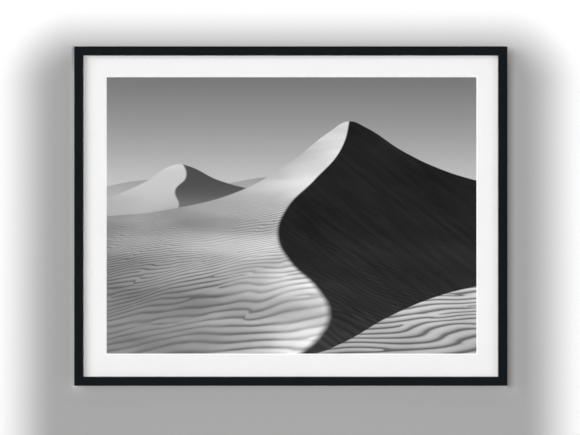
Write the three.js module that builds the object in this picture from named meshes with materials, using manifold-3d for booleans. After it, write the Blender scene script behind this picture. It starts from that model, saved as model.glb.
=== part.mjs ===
// A framed art print: a slim mitred frame with clear glazing, a bevelled window mat, a print, a mounting
// board and a backing board. Turn buttons hold the backing in, and two ring hangers carry the frame.
//
// Millimetres. +X runs to the right as seen from the front, +Z is up and the front faces -Y. The origin
// is midway between the points where the two rings bear on their hooks, in the plane of the wall.

import * as THREE from "three";
import { mergeVertices } from "three/addons/utils/BufferGeometryUtils.js";
import Module from "manifold-3d";

const wasm = await Module();
wasm.setup();

// Sizes across the front
const WINDOW_WIDTH = 611.2;
const WINDOW_HEIGHT = 456.8;
const MAT_BORDER = 36.4;
const FACE_WIDTH = 14.5;

// How far the window's middle lies off the frame's middle: the lower border is a little wider
const WINDOW_RIGHT = 1.2;
const WINDOW_UP = 1.1;

// The rails' section, from the front to the back
const SECTION_DEPTH = 22;
const LIP_DEPTH = 9.5;
const RABBET_WIDTH = 4.5;
const MITRE_GAP = 0.1;

// The flat sheets in the rabbet, from the front to the back
const GLAZING_THICKNESS = 2;
const MAT_THICKNESS = 1.5;
const PRINT_THICKNESS = 0.4;
const MOUNT_BOARD_THICKNESS = 5;
const BACKING_THICKNESS = 3;
const SHEET_CLEARANCE = 1;
const PRINT_OVERLAP = 6;

// The frame on the wall
const STANDOFF = 4;
const HANG_DROP = 140;
const BUMPER_RADIUS = 4.5;
const BUMPER_FACE_RADIUS = 3.6;
const BUMPER_EDGE = 1.2;
const BUMPER_FROM_SIDE = 22;

// Turn buttons, measured from the pivot
const BUTTON_THICKNESS = 1;
const BUTTON_RADIUS = 4.5;
const BUTTON_TIP_RADIUS = 3;
const BUTTON_ARM = 10.5;
const BUTTON_SPREAD_LONG = 230;
const BUTTON_SPREAD_SHORT = 170;

// Pan head wood screws
const SHANK_RADIUS = 1.5;
const SHANK_LENGTH = 9.5;
const SHANK_POINT = 2.5;
const HEAD_RADIUS = 2.75;
const HEAD_HEIGHT = 1.8;
const HEAD_RIM_HEIGHT = 0.45 * HEAD_HEIGHT;
const HEAD_CROWN_HEIGHT = 0.9 * HEAD_HEIGHT;
const HEAD_CROWN_RADIUS = 0.75 * HEAD_RADIUS;
const HOLE_RADIUS = 1.75;
const HOLE_DEPTH = 10;

// Ring hangers
const STRAP_THICKNESS = 0.8;
const STRAP_WIDTH = 7;
const STRAP_LENGTH = 11.5;
const STRAP_SCREW_DROP = 6.2;
const BARREL_RADIUS = 1.8;
const BARREL_WRAP = 290;
const RING_WIRE_RADIUS = 0.9;
const RING_HALF_WIDTH = 4.6;
const RING_HEIGHT = 11;
const RING_FROM_EDGE = 0.3;

// Gap kept between pieces that move past each other
const GAP = 0.3;

// How far a cutting shape reaches past the face that it cuts, and when two vertices are one
const CUT_OVER = 1;
const SAME_VERTEX = 1e-4;

// Facets of round pieces
const ROUND_SIDES = 12;
const WIRE_SIDES = 10;
const BUMPER_SIDES = 20;
const BARREL_STEPS = 12;
const RING_BEND_STEPS = 12;

// Sizes worked out from those above
const SIGHT_WIDTH = WINDOW_WIDTH + 2 * MAT_BORDER;
const SIGHT_HEIGHT = WINDOW_HEIGHT + 2 * MAT_BORDER;
const OUTER_WIDTH = SIGHT_WIDTH + 2 * FACE_WIDTH;
const OUTER_HEIGHT = SIGHT_HEIGHT + 2 * FACE_WIDTH;
const LAND_WIDTH = FACE_WIDTH - RABBET_WIDTH;
const SHEET_WIDTH = OUTER_WIDTH - 2 * (LAND_WIDTH + SHEET_CLEARANCE);
const SHEET_HEIGHT = OUTER_HEIGHT - 2 * (LAND_WIDTH + SHEET_CLEARANCE);

const BACK_Y = -STANDOFF;
const FRONT_Y = BACK_Y - SECTION_DEPTH;
const LIP_BACK_Y = FRONT_Y + LIP_DEPTH;
const TOP_Z = HANG_DROP;
const BOTTOM_Z = TOP_Z - OUTER_HEIGHT;
const CENTRE_Z = (TOP_Z + BOTTOM_Z) / 2;

const PIVOT_INSET = LAND_WIDTH / 2;
const RING_AXIS_Z = RING_WIRE_RADIUS - RING_HEIGHT;
const HANGER_X = OUTER_WIDTH / 2 - RING_HALF_WIDTH - RING_WIRE_RADIUS - RING_FROM_EDGE;
const STRAP_SCREW_Z = RING_AXIS_Z - STRAP_SCREW_DROP;

const finish = (color, roughness, metalness = 0) =>
  new THREE.MeshStandardMaterial({ color, roughness, metalness });

const blackWood = finish(0x171c1e, 0.42);
const matBoard = finish(0xf6f6f4, 0.9);
const photoPaper = finish(0x7c7c7c, 0.5);
const foamBoard = finish(0xf2f2ee, 0.85);
const fibreBoard = finish(0x9a7650, 0.75);
const zincSteel = finish(0xb9bcc0, 0.35, 1);
const feltGrey = finish(0x3a3b3c, 0.95);
const acrylic = finish(0xffffff, 0.05);
acrylic.transparent = true;
acrylic.opacity = 0.1;

const part = new THREE.Group();

function piece(name, geometry, material, x, y, z) {
  const mesh = new THREE.Mesh(geometry, material);
  mesh.name = name;
  mesh.position.set(x, y, z);
  return mesh;
}

// Solids for cutting and joining, and back
function solidOf(geometry) {
  const bare = geometry.clone();
  bare.deleteAttribute("normal");
  bare.deleteAttribute("uv");
  const merged = mergeVertices(bare, SAME_VERTEX);
  const vertProperties = new Float32Array(merged.attributes.position.array);
  const triVerts = new Uint32Array(merged.index.array);
  return new wasm.Manifold(new wasm.Mesh({ numProp: 3, vertProperties, triVerts }));
}

function geometryOf(solid) {
  const mesh = solid.getMesh();
  const geometry = new THREE.BufferGeometry();
  geometry.setAttribute("position", new THREE.BufferAttribute(mesh.vertProperties, 3));
  geometry.setIndex(new THREE.BufferAttribute(mesh.triVerts, 1));
  geometry.computeVertexNormals();
  return geometry;
}

// A flat plate with its outline in X and Z, its back face at y = 0 and its thickness towards -Y
function plate(shape, thickness, curveSegments) {
  const settings = { depth: thickness, bevelEnabled: false, curveSegments };
  const geometry = new THREE.ExtrudeGeometry(shape, settings);
  return geometry.rotateX(Math.PI / 2);
}

// A straight hole along Y from y = 0 down to the given depth, with a little over at its mouth
function holeAt(x, z, depth) {
  const hole = new THREE.CylinderGeometry(HOLE_RADIUS, HOLE_RADIUS, depth + CUT_OVER, ROUND_SIDES);
  return solidOf(hole.translate(x, (CUT_OVER - depth) / 2, z));
}

// Rails: one L-shaped section, extruded along X, whose ends then slide onto the mitre planes. A rail is
// drawn as the top one, about the middle of the frame, and its group turns it into place.
function railGeometry(length, across, holes) {
  const inwardAndY = [
    [0, FRONT_Y],
    [FACE_WIDTH, FRONT_Y],
    [FACE_WIDTH, LIP_BACK_Y],
    [LAND_WIDTH, LIP_BACK_Y],
    [LAND_WIDTH, BACK_Y],
    [0, BACK_Y],
  ];
  const section = new THREE.Shape(inwardAndY.map(([inward, y]) => new THREE.Vector2(inward, y)));
  const geometry = new THREE.ExtrudeGeometry(section, { depth: 1, bevelEnabled: false });
  const position = geometry.attributes.position;
  for (let i = 0; i < position.count; i += 1) {
    const inward = position.getX(i);
    const end = position.getZ(i) > 0.5 ? 1 : -1;
    const x = end * (length / 2 - inward - MITRE_GAP / 2);
    position.setXYZ(i, x, position.getY(i), across / 2 - inward);
  }
  const drilled = holes.map(([along, inward]) =>
    holeAt(along, across / 2 - inward, HOLE_DEPTH).translate([0, BACK_Y, 0]),
  );
  return geometryOf(drilled.reduce((rest, hole) => rest.subtract(hole), solidOf(geometry)));
}

// A turn button: a drop-shaped plate with its hole at the pivot and its narrow tip towards -Z
function buttonGeometry() {
  const lean = Math.asin((BUTTON_RADIUS - BUTTON_TIP_RADIUS) / BUTTON_ARM);
  const outline = new THREE.Shape();
  outline.absarc(0, 0, BUTTON_RADIUS, -lean, Math.PI + lean, false);
  outline.absarc(0, -BUTTON_ARM, BUTTON_TIP_RADIUS, Math.PI + lean, 2 * Math.PI - lean, false);
  outline.closePath();
  const hole = new THREE.Path();
  hole.absarc(0, 0, HOLE_RADIUS, 0, 2 * Math.PI, true);
  outline.holes.push(hole);
  return plate(outline, BUTTON_THICKNESS, ROUND_SIDES / 2);
}

// A pan head screw along Y: its head stands on y = 0 towards +Y and its shank goes down to -Y
function screwGeometry(shankLength) {
  const radiusAndY = [
    [0, -shankLength],
    [SHANK_RADIUS, -shankLength + SHANK_POINT],
    [SHANK_RADIUS, 0],
    [HEAD_RADIUS, 0],
    [HEAD_RADIUS, HEAD_RIM_HEIGHT],
    [HEAD_CROWN_RADIUS, HEAD_CROWN_HEIGHT],
    [0, HEAD_HEIGHT],
  ];
  const profile = radiusAndY.map(([radius, y]) => new THREE.Vector2(radius, y));
  return new THREE.LatheGeometry(profile, ROUND_SIDES);
}

// Where the screws of the two hangers go in, as seen from a side rail's own middle
const hangerHole = (direction) => [
  direction * (STRAP_SCREW_Z - CENTRE_Z),
  OUTER_WIDTH / 2 - HANGER_X,
];

const longSpots = [-BUTTON_SPREAD_LONG, 0, BUTTON_SPREAD_LONG];
const shortSpots = [-BUTTON_SPREAD_SHORT, BUTTON_SPREAD_SHORT];

// Two kinds of side: rail length, size across it, and places of the turn buttons
const lying = { length: OUTER_WIDTH, across: OUTER_HEIGHT, spots: longSpots };
const standing = { length: OUTER_HEIGHT, across: OUTER_WIDTH, spots: shortSpots };

// Each side's name, quarter turns, kind and further holes
const sides = [
  { name: "top", turns: 0, ...lying, extra: [] },
  { name: "right", turns: 1, ...standing, extra: [hangerHole(-1)] },
  { name: "bottom", turns: 2, ...lying, extra: [] },
  { name: "left", turns: 3, ...standing, extra: [hangerHole(1)] },
];

const buttonBackY = BACK_Y + GAP + BUTTON_THICKNESS;
const buttonHeadY = buttonBackY + GAP;
const buttonShank = SHANK_LENGTH + buttonHeadY - BACK_Y;

for (const { name, turns, length, across, spots, extra } of sides) {
  const side = new THREE.Group();
  side.position.z = CENTRE_Z;
  side.rotation.y = (turns * Math.PI) / 2;
  const holes = spots.map((along) => [along, PIVOT_INSET]).concat(extra);
  side.add(piece(`rail_${name}`, railGeometry(length, across, holes), blackWood, 0, 0, 0));
  const pivotZ = across / 2 - PIVOT_INSET;
  spots.forEach((along, index) => {
    const label = `${name}_${index + 1}`;
    side.add(piece(`turn_button_${label}`, buttonGeometry(), zincSteel, along, buttonBackY, pivotZ));
    side.add(
      piece(`turn_button_screw_${label}`, screwGeometry(buttonShank), zincSteel, along, buttonHeadY, pivotZ),
    );
  });
  part.add(side);
}

// The flat sheets, each on the one in front of it. The mat keeps a hair's gap to the glazing.
const glazingFrontY = LIP_BACK_Y;
const matFrontY = glazingFrontY + GLAZING_THICKNESS + GAP;
const printFrontY = matFrontY + MAT_THICKNESS;
const mountBoardFrontY = printFrontY + PRINT_THICKNESS;
const backingFrontY = mountBoardFrontY + MOUNT_BOARD_THICKNESS;

function sheet(name, width, height, thickness, frontY, material, right = 0, up = 0) {
  const geometry = new THREE.BoxGeometry(width, thickness, height);
  part.add(piece(name, geometry, material, right, frontY + thickness / 2, CENTRE_Z + up));
}

sheet("glazing", SHEET_WIDTH, SHEET_HEIGHT, GLAZING_THICKNESS, glazingFrontY, acrylic);
sheet(
  "print_sheet",
  WINDOW_WIDTH + 2 * PRINT_OVERLAP,
  WINDOW_HEIGHT + 2 * PRINT_OVERLAP,
  PRINT_THICKNESS,
  printFrontY,
  photoPaper,
  WINDOW_RIGHT,
  WINDOW_UP,
);
sheet("mount_board", SHEET_WIDTH, SHEET_HEIGHT, MOUNT_BOARD_THICKNESS, mountBoardFrontY, foamBoard);
sheet("backing_board", SHEET_WIDTH, SHEET_HEIGHT, BACKING_THICKNESS, backingFrontY, fibreBoard);

// The window mat: a board whose window opens towards the front at 45 degrees
function matGeometry() {
  const board = new THREE.BoxGeometry(SHEET_WIDTH, MAT_THICKNESS, SHEET_HEIGHT);
  const cutter = new THREE.BoxGeometry(1, MAT_THICKNESS + 2 * CUT_OVER, 1);
  const position = cutter.attributes.position;
  for (let i = 0; i < position.count; i += 1) {
    const y = position.getY(i);
    const spread = MAT_THICKNESS / 2 - y;
    const x = WINDOW_RIGHT + Math.sign(position.getX(i)) * (WINDOW_WIDTH / 2 + spread);
    const z = WINDOW_UP + Math.sign(position.getZ(i)) * (WINDOW_HEIGHT / 2 + spread);
    position.setXYZ(i, x, y, z);
  }
  return geometryOf(solidOf(board).subtract(solidOf(cutter)));
}

part.add(piece("window_mat", matGeometry(), matBoard, 0, matFrontY + MAT_THICKNESS / 2, CENTRE_Z));

// Hanger strap: sheet steel flat on the rail's back, rolled round the ring's bar at its top. Its origin
// is the bar's axis. The outline is drawn as distance from the bar towards the wall, and height.
function strapGeometry() {
  const inner = BARREL_RADIUS - STRAP_THICKNESS;
  const lastAngle = Math.PI - THREE.MathUtils.degToRad(BARREL_WRAP);
  const roll = [];
  const returning = [];
  for (let step = 0; step <= BARREL_STEPS; step += 1) {
    const angle = THREE.MathUtils.lerp(Math.PI, lastAngle, step / BARREL_STEPS);
    roll.push(new THREE.Vector2(BARREL_RADIUS * Math.cos(angle), BARREL_RADIUS * Math.sin(angle)));
    returning.unshift(new THREE.Vector2(inner * Math.cos(angle), inner * Math.sin(angle)));
  }
  const outline = new THREE.Shape([
    new THREE.Vector2(-BARREL_RADIUS, -STRAP_LENGTH),
    ...roll,
    ...returning,
    new THREE.Vector2(-inner, -STRAP_LENGTH),
  ]);
  const strip = new THREE.ExtrudeGeometry(outline, { depth: STRAP_WIDTH, bevelEnabled: false });
  strip.translate(0, 0, -STRAP_WIDTH / 2);
  // the outline's first axis becomes Y, its second Z, and the strap's width X
  strip.applyMatrix4(new THREE.Matrix4().set(0, 0, 1, 0, 1, 0, 0, 0, 0, 1, 0, 0, 0, 0, 0, 1));

  const half = STRAP_WIDTH / 2;
  const rounded = new THREE.Shape();
  rounded.moveTo(half, 2 * BARREL_RADIUS);
  rounded.lineTo(-half, 2 * BARREL_RADIUS);
  rounded.absarc(0, half - STRAP_LENGTH, half, Math.PI, 2 * Math.PI, false);
  rounded.closePath();
  const block = plate(rounded, 4 * BARREL_RADIUS, ROUND_SIDES / 2);
  const cutout = solidOf(block.translate(0, 2 * BARREL_RADIUS, 0));
  const hole = holeAt(0, -STRAP_SCREW_DROP, 2 * BARREL_RADIUS);
  return geometryOf(solidOf(strip).intersect(cutout).subtract(hole));
}

// Hanging ring: round wire swept along a closed D-shaped path in X and Z, with its bar at the origin
function ringGeometry() {
  const path = new THREE.Path();
  path.moveTo(-RING_HALF_WIDTH, 0);
  path.lineTo(RING_HALF_WIDTH, 0);
  path.absarc(0, RING_HEIGHT - RING_HALF_WIDTH, RING_HALF_WIDTH, 0, Math.PI, false);
  const corners = path.getPoints(RING_BEND_STEPS);
  const positions = [];
  const triangles = [];
  corners.forEach((corner, index) => {
    const before = corners[(index + corners.length - 1) % corners.length];
    const after = corners[(index + 1) % corners.length];
    const arriving = new THREE.Vector2().subVectors(corner, before).normalize();
    const leaving = new THREE.Vector2().subVectors(after, corner).normalize();
    const along = new THREE.Vector2().addVectors(arriving, leaving).normalize();
    const stretch = 1 / along.dot(leaving);
    for (let side = 0; side < WIRE_SIDES; side += 1) {
      const angle = (2 * Math.PI * side) / WIRE_SIDES;
      const outwards = RING_WIRE_RADIUS * Math.cos(angle) * stretch;
      const backwards = RING_WIRE_RADIUS * Math.sin(angle);
      positions.push(corner.x + along.y * outwards, backwards, corner.y - along.x * outwards);
      const here = index * WIRE_SIDES + side;
      const beside = index * WIRE_SIDES + ((side + 1) % WIRE_SIDES);
      const step = ((index + 1) % corners.length) * WIRE_SIDES - index * WIRE_SIDES;
      triangles.push(here, beside, here + step, beside, beside + step, here + step);
    }
  });
  const geometry = new THREE.BufferGeometry();
  geometry.setAttribute("position", new THREE.Float32BufferAttribute(positions, 3));
  geometry.setIndex(triangles);
  geometry.computeVertexNormals();
  return geometry;
}

const barrelY = BACK_Y + BARREL_RADIUS;

for (const { label, direction } of [
  { label: "left", direction: -1 },
  { label: "right", direction: 1 },
]) {
  const hanger = new THREE.Group();
  hanger.position.set(direction * HANGER_X, barrelY, RING_AXIS_Z);
  const strapBackY = STRAP_THICKNESS - BARREL_RADIUS;
  hanger.add(piece(`hanger_strap_${label}`, strapGeometry(), zincSteel, 0, 0, 0));
  hanger.add(piece(`hanger_ring_${label}`, ringGeometry(), zincSteel, 0, 0, 0));
  hanger.add(
    piece(`hanger_screw_${label}`, screwGeometry(SHANK_LENGTH), zincSteel, 0, strapBackY, -STRAP_SCREW_DROP),
  );
  part.add(hanger);
}

// Wall bumpers on the bottom rail, one near each end
function bumperGeometry() {
  const radiusAndY = [
    [0, 0],
    [BUMPER_RADIUS, 0],
    [BUMPER_RADIUS, STANDOFF - BUMPER_EDGE],
    [BUMPER_FACE_RADIUS, STANDOFF],
    [0, STANDOFF],
  ];
  const profile = radiusAndY.map(([radius, y]) => new THREE.Vector2(radius, y));
  return new THREE.LatheGeometry(profile, BUMPER_SIDES);
}

for (const { label, direction } of [
  { label: "left", direction: -1 },
  { label: "right", direction: 1 },
]) {
  const x = direction * (OUTER_WIDTH / 2 - BUMPER_FROM_SIDE);
  part.add(piece(`wall_bumper_${label}`, bumperGeometry(), feltGrey, x, BACK_Y, BOTTOM_Z + PIVOT_INSET));
}

export default part;
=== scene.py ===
# %% [markdown]
# # A framed art print, dressed for its portrait
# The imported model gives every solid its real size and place: four mitred rails, a sheet of acrylic, a
# window mat, the print and its boards, and the hardware on the back. This script gives them their looks.
# Flat sheets that already have the right shape only get a material. Pieces with rounded edges, bends or
# recesses are built again as finer meshes that stand in for the plain solids, in the same places.

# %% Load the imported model
import math
from functools import partial

import bmesh
import bpy
from mathutils import Matrix, Vector


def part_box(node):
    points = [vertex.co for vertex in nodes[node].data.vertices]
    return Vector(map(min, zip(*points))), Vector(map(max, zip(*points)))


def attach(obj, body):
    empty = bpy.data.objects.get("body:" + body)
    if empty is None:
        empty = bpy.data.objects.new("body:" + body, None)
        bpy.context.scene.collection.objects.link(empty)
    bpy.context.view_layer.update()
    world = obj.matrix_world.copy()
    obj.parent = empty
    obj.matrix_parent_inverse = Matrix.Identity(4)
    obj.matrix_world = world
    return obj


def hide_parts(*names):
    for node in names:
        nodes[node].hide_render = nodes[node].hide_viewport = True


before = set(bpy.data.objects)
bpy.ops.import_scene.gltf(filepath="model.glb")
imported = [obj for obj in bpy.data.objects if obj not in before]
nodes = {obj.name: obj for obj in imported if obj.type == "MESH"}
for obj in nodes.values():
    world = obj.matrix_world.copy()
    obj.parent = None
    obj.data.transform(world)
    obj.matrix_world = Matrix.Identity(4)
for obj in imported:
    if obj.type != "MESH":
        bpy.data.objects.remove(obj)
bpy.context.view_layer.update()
MM = 0.001

# %% [markdown]
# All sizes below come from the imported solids, so nothing has to be fitted by eye.

# %% Measure the frame
RABBET_WIDTH = 4.5 * MM
PRINT_EDGE_UNDER_MAT = 6 * MM

top_low, top_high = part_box("rail_top")
bottom_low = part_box("rail_bottom")[0]
outer_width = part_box("rail_right")[1].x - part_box("rail_left")[0].x
outer_height = top_high.z - bottom_low.z
centre_z = (top_high.z + bottom_low.z) / 2
face_width = top_high.z - top_low.z
land_width = face_width - RABBET_WIDTH
front_y, back_y = top_low.y, top_high.y
lip_back_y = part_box("glazing")[0].y
mat_low, mat_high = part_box("window_mat")

print_low, print_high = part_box("print_sheet")
window_middle = (print_low + print_high) / 2
window_width, _, window_height = print_high - print_low - 2 * Vector((1, 1, 1)) * PRINT_EDGE_UNDER_MAT
print("outer size in mm:", round(outer_width / MM, 1), round(outer_height / MM, 1))
print("window size in mm:", round(window_width / MM, 1), round(window_height / MM, 1))

# %% [markdown]
# Node trees, for materials and for geometry alike, are made of the same three moves: add a node, set its
# properties, and feed its inputs. One function does all three, so that each line below reads as one node.
# Inputs are fed in their order or by the names that the node shows. Each takes a plain value, the output
# of another node, or a list of outputs where several may be joined. Every tree gets a copy of the
# function that already knows the tree.

# %% Helpers for every node tree
def wire(node, wires):
    """Feeds a node's inputs, in order or by name. A node among the values stands for its first output."""
    by_key = wires if isinstance(wires, dict) else dict(enumerate(wires))
    for key, value in by_key.items():
        if isinstance(key, str):
            socket = next(item for item in node.inputs if item.name == key and item.enabled)
        else:
            socket = node.inputs[key]
        for source in value if isinstance(value, list) else [value]:
            if isinstance(source, bpy.types.Node):
                source = next(item for item in source.outputs if item.enabled)
            if isinstance(source, bpy.types.NodeSocket):
                node.id_data.links.new(source, socket)
            else:
                socket.default_value = source


def add(tree, kind, wires=(), curve=(), handles="AUTO", **settings):
    """Adds one node to a tree, sets its properties, lays its curve if it has one and feeds its inputs."""
    node = tree.nodes.new(kind)
    for name, value in settings.items():
        setattr(node, name, value)
    if curve:
        points = node.mapping.curves[0].points
        points[0].location, points[1].location = curve[0], curve[-1]
        for spot in curve[1:-1]:
            points.new(*spot)
        for point in points:
            point.handle_type = handles
        node.mapping.update()
    wire(node, wires)
    return node


def tell(made):
    """Prints how many nodes a finish or a tree has."""
    print(made.name, "nodes:", len(getattr(made, "node_tree", made).nodes))


# %% [markdown]
# Colours are written as sRGB hex values, as a paint chart or an image editor gives them. Blender's
# shaders work in linear light, where the middle grey of a screen is only about a fifth of white, so one
# function turns each value over.

# %% Colours
def linear(part):
    """One sRGB part, 0 to 1, in linear light."""
    return part / 12.92 if part <= 0.04045 else ((part + 0.055) / 1.055) ** 2.4


def srgb(code):
    """A colour such as "#1a2b3c" in linear light, with full alpha."""
    return (*[linear(int(code[start : start + 2], 16) / 255) for start in (1, 3, 5)], 1)


def greys(*rows):
    """Curve points from rows of a value and one sRGB part, which stands for a grey."""
    return [(value, linear(level / 255)) for value, level in rows]


print("middle grey in linear light:", round(srgb("#808080")[0], 3))

# %% [markdown]
# The camera stands straight in front, as for a catalogue picture. A long lens far away keeps the frame's
# inner sides almost hidden, as they are when a picture is photographed flat. The distance follows from
# how wide the outer frame is in the 580 pixel wide image.

# %% Camera
IMAGE_WIDTH_PX = 580
FRAME_WIDTH_PX = 433.3
FRAME_CENTRE_RIGHT_PX = 0.83
FRAME_CENTRE_UP_PX = 1.4
LENS_MM = 120
SENSOR_MM = 36

metres_per_px = outer_width / FRAME_WIDTH_PX
camera_distance = metres_per_px * IMAGE_WIDTH_PX * LENS_MM / SENSOR_MM
camera_data = bpy.data.cameras.new("camera")
camera_data.lens = LENS_MM
camera_data.sensor_width = SENSOR_MM
camera = bpy.data.objects.new("camera", camera_data)
aside, above = FRAME_CENTRE_RIGHT_PX * metres_per_px, FRAME_CENTRE_UP_PX * metres_per_px
camera.location = (-aside, front_y - camera_distance, centre_z - above)
camera.rotation_euler = (math.pi / 2, 0, 0)
bpy.context.scene.collection.objects.link(camera)
bpy.context.scene.camera = camera
bpy.context.scene.view_settings.view_transform = "Standard"
print("camera distance in m:", round(camera_distance, 2))

# %% [markdown]
# A finish starts from the real surface: what it is, how it was made, and what that gives the eye. Every
# pattern is laid out on Object coordinates. They are real metres here, so a texture's scale is one over
# the size of its features, and grain and fibres come out as large as they really are. The patterns could
# also be photographed textures, but those would need image files and blur in a close view.

# %% Starting a finish, and ending one for the stage
def new_finish(name):
    """An empty material and the function that adds its nodes."""
    finish = bpy.data.materials.new(name)
    finish.use_nodes = True
    finish.node_tree.nodes.clear()
    return finish, partial(add, finish.node_tree)


def show_front_only(node, surface):
    """Ends a stage finish whose back lets every ray through."""
    side = node("ShaderNodeNewGeometry").outputs["Backfacing"]
    mixed = node("ShaderNodeMixShader", [side, surface, node("ShaderNodeBsdfTransparent")])
    node("ShaderNodeOutputMaterial", [mixed])


# %% [markdown]
# A frame belongs on a wall, so the stage is a pale wall with a pale floor far below. Emulsion is rolled on
# and dries matt, so a plain diffuse shader does for it. Behind the frame the wall has a painted shade, a
# soft grey field that fades out to white, with round corners. Things out of view could cast such a shade,
# but then each lamp would change it, so it is painted. To round its corners, the distance to its edge is
# measured from a smaller box whose sides lie one corner radius further in.

# %% Wall paint, with a painted shade behind the frame
PAINTED_SHADE_RIGHT = -2 * MM
PAINTED_SHADE_HALF_WIDTH = 442 * MM
PAINTED_SHADE_OVER_CENTRE = 301 * MM
PAINTED_SHADE_FADE = 56 * MM
PAINTED_SHADE_CORNER = 90 * MM

wall_paint, node = new_finish("matt emulsion wall paint")
place = node("ShaderNodeTexCoord").outputs["Object"]
across, _, up = node("ShaderNodeSeparateXYZ", [place]).outputs
from_middle = node("ShaderNodeMath", [across, PAINTED_SHADE_RIGHT], operation="SUBTRACT")
sideways = node("ShaderNodeMath", [from_middle], operation="ABSOLUTE")
side_of_box = PAINTED_SHADE_HALF_WIDTH - PAINTED_SHADE_CORNER
top_of_box = centre_z + PAINTED_SHADE_OVER_CENTRE - PAINTED_SHADE_CORNER
past_side = node("ShaderNodeMath", [sideways, side_of_box], operation="SUBTRACT")
past_top = node("ShaderNodeMath", [up, top_of_box], operation="SUBTRACT")
past_box = node("ShaderNodeCombineXYZ", {"X": past_side, "Y": past_top})
past_box = node("ShaderNodeVectorMath", [past_box, (0, 0, 0)], operation="MAXIMUM")
distance = node("ShaderNodeVectorMath", [past_box], operation="LENGTH")
white_from = PAINTED_SHADE_CORNER + PAINTED_SHADE_FADE
grey_from = PAINTED_SHADE_CORNER - PAINTED_SHADE_FADE
fade_out = {"Value": distance, "From Min": white_from, "From Max": grey_from}
# The painted shade: 0 where the wall is white, 1 inside the grey field
field = node("ShaderNodeMapRange", fade_out, interpolation_type="SMOOTHSTEP")
white_and_painted_shade = {"Factor": field, "A": srgb("#ffffff"), "B": srgb("#a7a7a7")}
wall_tone_painted_light_and_shade = node("ShaderNodeMix", white_and_painted_shade, data_type="RGBA")
tell(wall_paint)

# %% [markdown]
# Close to the frame its own shade falls on the wall, a little deeper than in the photo. More lamps could
# open it, but each would light the frame as well. So the paint makes up for it with three curves, one for
# each side that the light doesn't fully reach. Round the corners they are mixed by direction: a
# direction's squared parts always add up to one, so they are the weights.

# %% Painted light beside the frame, and a narrow painted shadow at its right
# Each row: mm away from the frame's edge, and how many times lighter the paint is there
# Over one a curve paints light, under one it paints shadow, as the right one does next to the frame
BALANCE_RIGHT = [
    (0, 1), (0.8, 0.6), (2, 0.72), (3.6, 0.74), (5.2, 0.83), (6.6, 0.91),
    (8.3, 1.05), (14.4, 1.18), (17.2, 1.2), (20, 1.13), (28, 1.03), (40, 1),
]
BALANCE_LEFT = [
    (0, 1), (1, 1.6), (3, 1.8), (4.6, 1.88), (6.3, 1.5), (7.9, 1.22),
    (9.6, 1.08), (11.3, 1.05), (13, 1.04), (18, 1.02), (28, 1), (40, 1),
]
BALANCE_BELOW = [(0, 1), (0.8, 1.6), (2, 1.55), (4, 1.31), (8, 1.17), (13, 1.08), (20, 1.01), (40, 1)]
BALANCE_REACH_MM = 40
# The curves run from 0 to 1, so they hold each factor's share of this one
MOST_BALANCE = 2
# Keeps the direction defined where a place is beside no edge
NO_GAP = 0.01 * MM

half_width = outer_width / 2
past_right = node("ShaderNodeMath", [across, half_width], operation="SUBTRACT")
past_left = node("ShaderNodeMath", [-half_width, across], operation="SUBTRACT")
past_bottom = node("ShaderNodeMath", [bottom_low.z, up], operation="SUBTRACT")
outside = node("ShaderNodeCombineXYZ", [past_right, past_left, past_bottom])
outside = node("ShaderNodeVectorMath", [outside, (NO_GAP, NO_GAP, NO_GAP)], operation="MAXIMUM")
distance = node("ShaderNodeVectorMath", [outside], operation="LENGTH")
reach = node("ShaderNodeMapRange", {"Value": distance, "From Max": BALANCE_REACH_MM * MM})
curves = [
    node(
        "ShaderNodeFloatCurve",
        {"Value": reach},
        curve=[(away / BALANCE_REACH_MM, factor / MOST_BALANCE) for away, factor in rows],
    )
    for rows in (BALANCE_RIGHT, BALANCE_LEFT, BALANCE_BELOW)
]
towards = node("ShaderNodeVectorMath", [outside], operation="NORMALIZE")
weights = node("ShaderNodeVectorMath", [towards, towards], operation="MULTIPLY")
factors = node("ShaderNodeCombineXYZ", curves)
share = node("ShaderNodeVectorMath", [weights, factors], operation="DOT_PRODUCT")
change = node("ShaderNodeMath", [share, MOST_BALANCE, -1.0], operation="MULTIPLY_ADD")
fade_in = {"Value": up, "From Min": top_high.z, "From Max": top_high.z - BALANCE_REACH_MM * MM}
under_top = node("ShaderNodeMapRange", fade_in)
balance = node("ShaderNodeMath", [change, under_top, 1.0], operation="MULTIPLY_ADD")
wall_tone_painted_light_and_shade = node("ShaderNodeVectorMath", {0: wall_tone_painted_light_and_shade, "Scale": balance}, operation="SCALE")
show_front_only(node, node("ShaderNodeBsdfDiffuse", [wall_tone_painted_light_and_shade]))
tell(wall_paint)

# %% [markdown]
# The floor is white paint far from the lamps, which would leave it grey. A stronger lamp for the floor
# alone would need care not to reach the frame, so the paint glows a little by itself.

# %% Floor finish
FLOOR_GLOW = 0.78

floor_finish, node = new_finish("pale studio floor, lit from below")
paint = node("ShaderNodeBsdfDiffuse", [srgb("#d8d8d6")])
glow = node("ShaderNodeEmission", [srgb("#f4f4f2"), FLOOR_GLOW])
show_front_only(node, node("ShaderNodeAddShader", [paint, glow]))
tell(floor_finish)

# %% [markdown]
# The wall touches the felt bumpers. Its paint only exists on the front: a ray that meets its back passes
# through, so that the hardware on the back of the frame can be looked at as well. The floor is the same
# seen from below. Neither throws light or shade on the frame, so a view from behind stays evenly lit.

# %% Wall and floor
# The wall ends before a camera that looks from the side, or its white would fill half of that view
WALL_HALF_WIDTH = 1.9
WALL_HEIGHT = 2.2
FLOOR_DROP = 1.3
FLOOR_REACH = 60.0
BEHIND_BUMPERS = 0.3 * MM


def loop_round(half, low, high):
    """The corners of a rectangle, once round."""
    return [(-half, low), (half, low), (half, high), (-half, high)]


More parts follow.
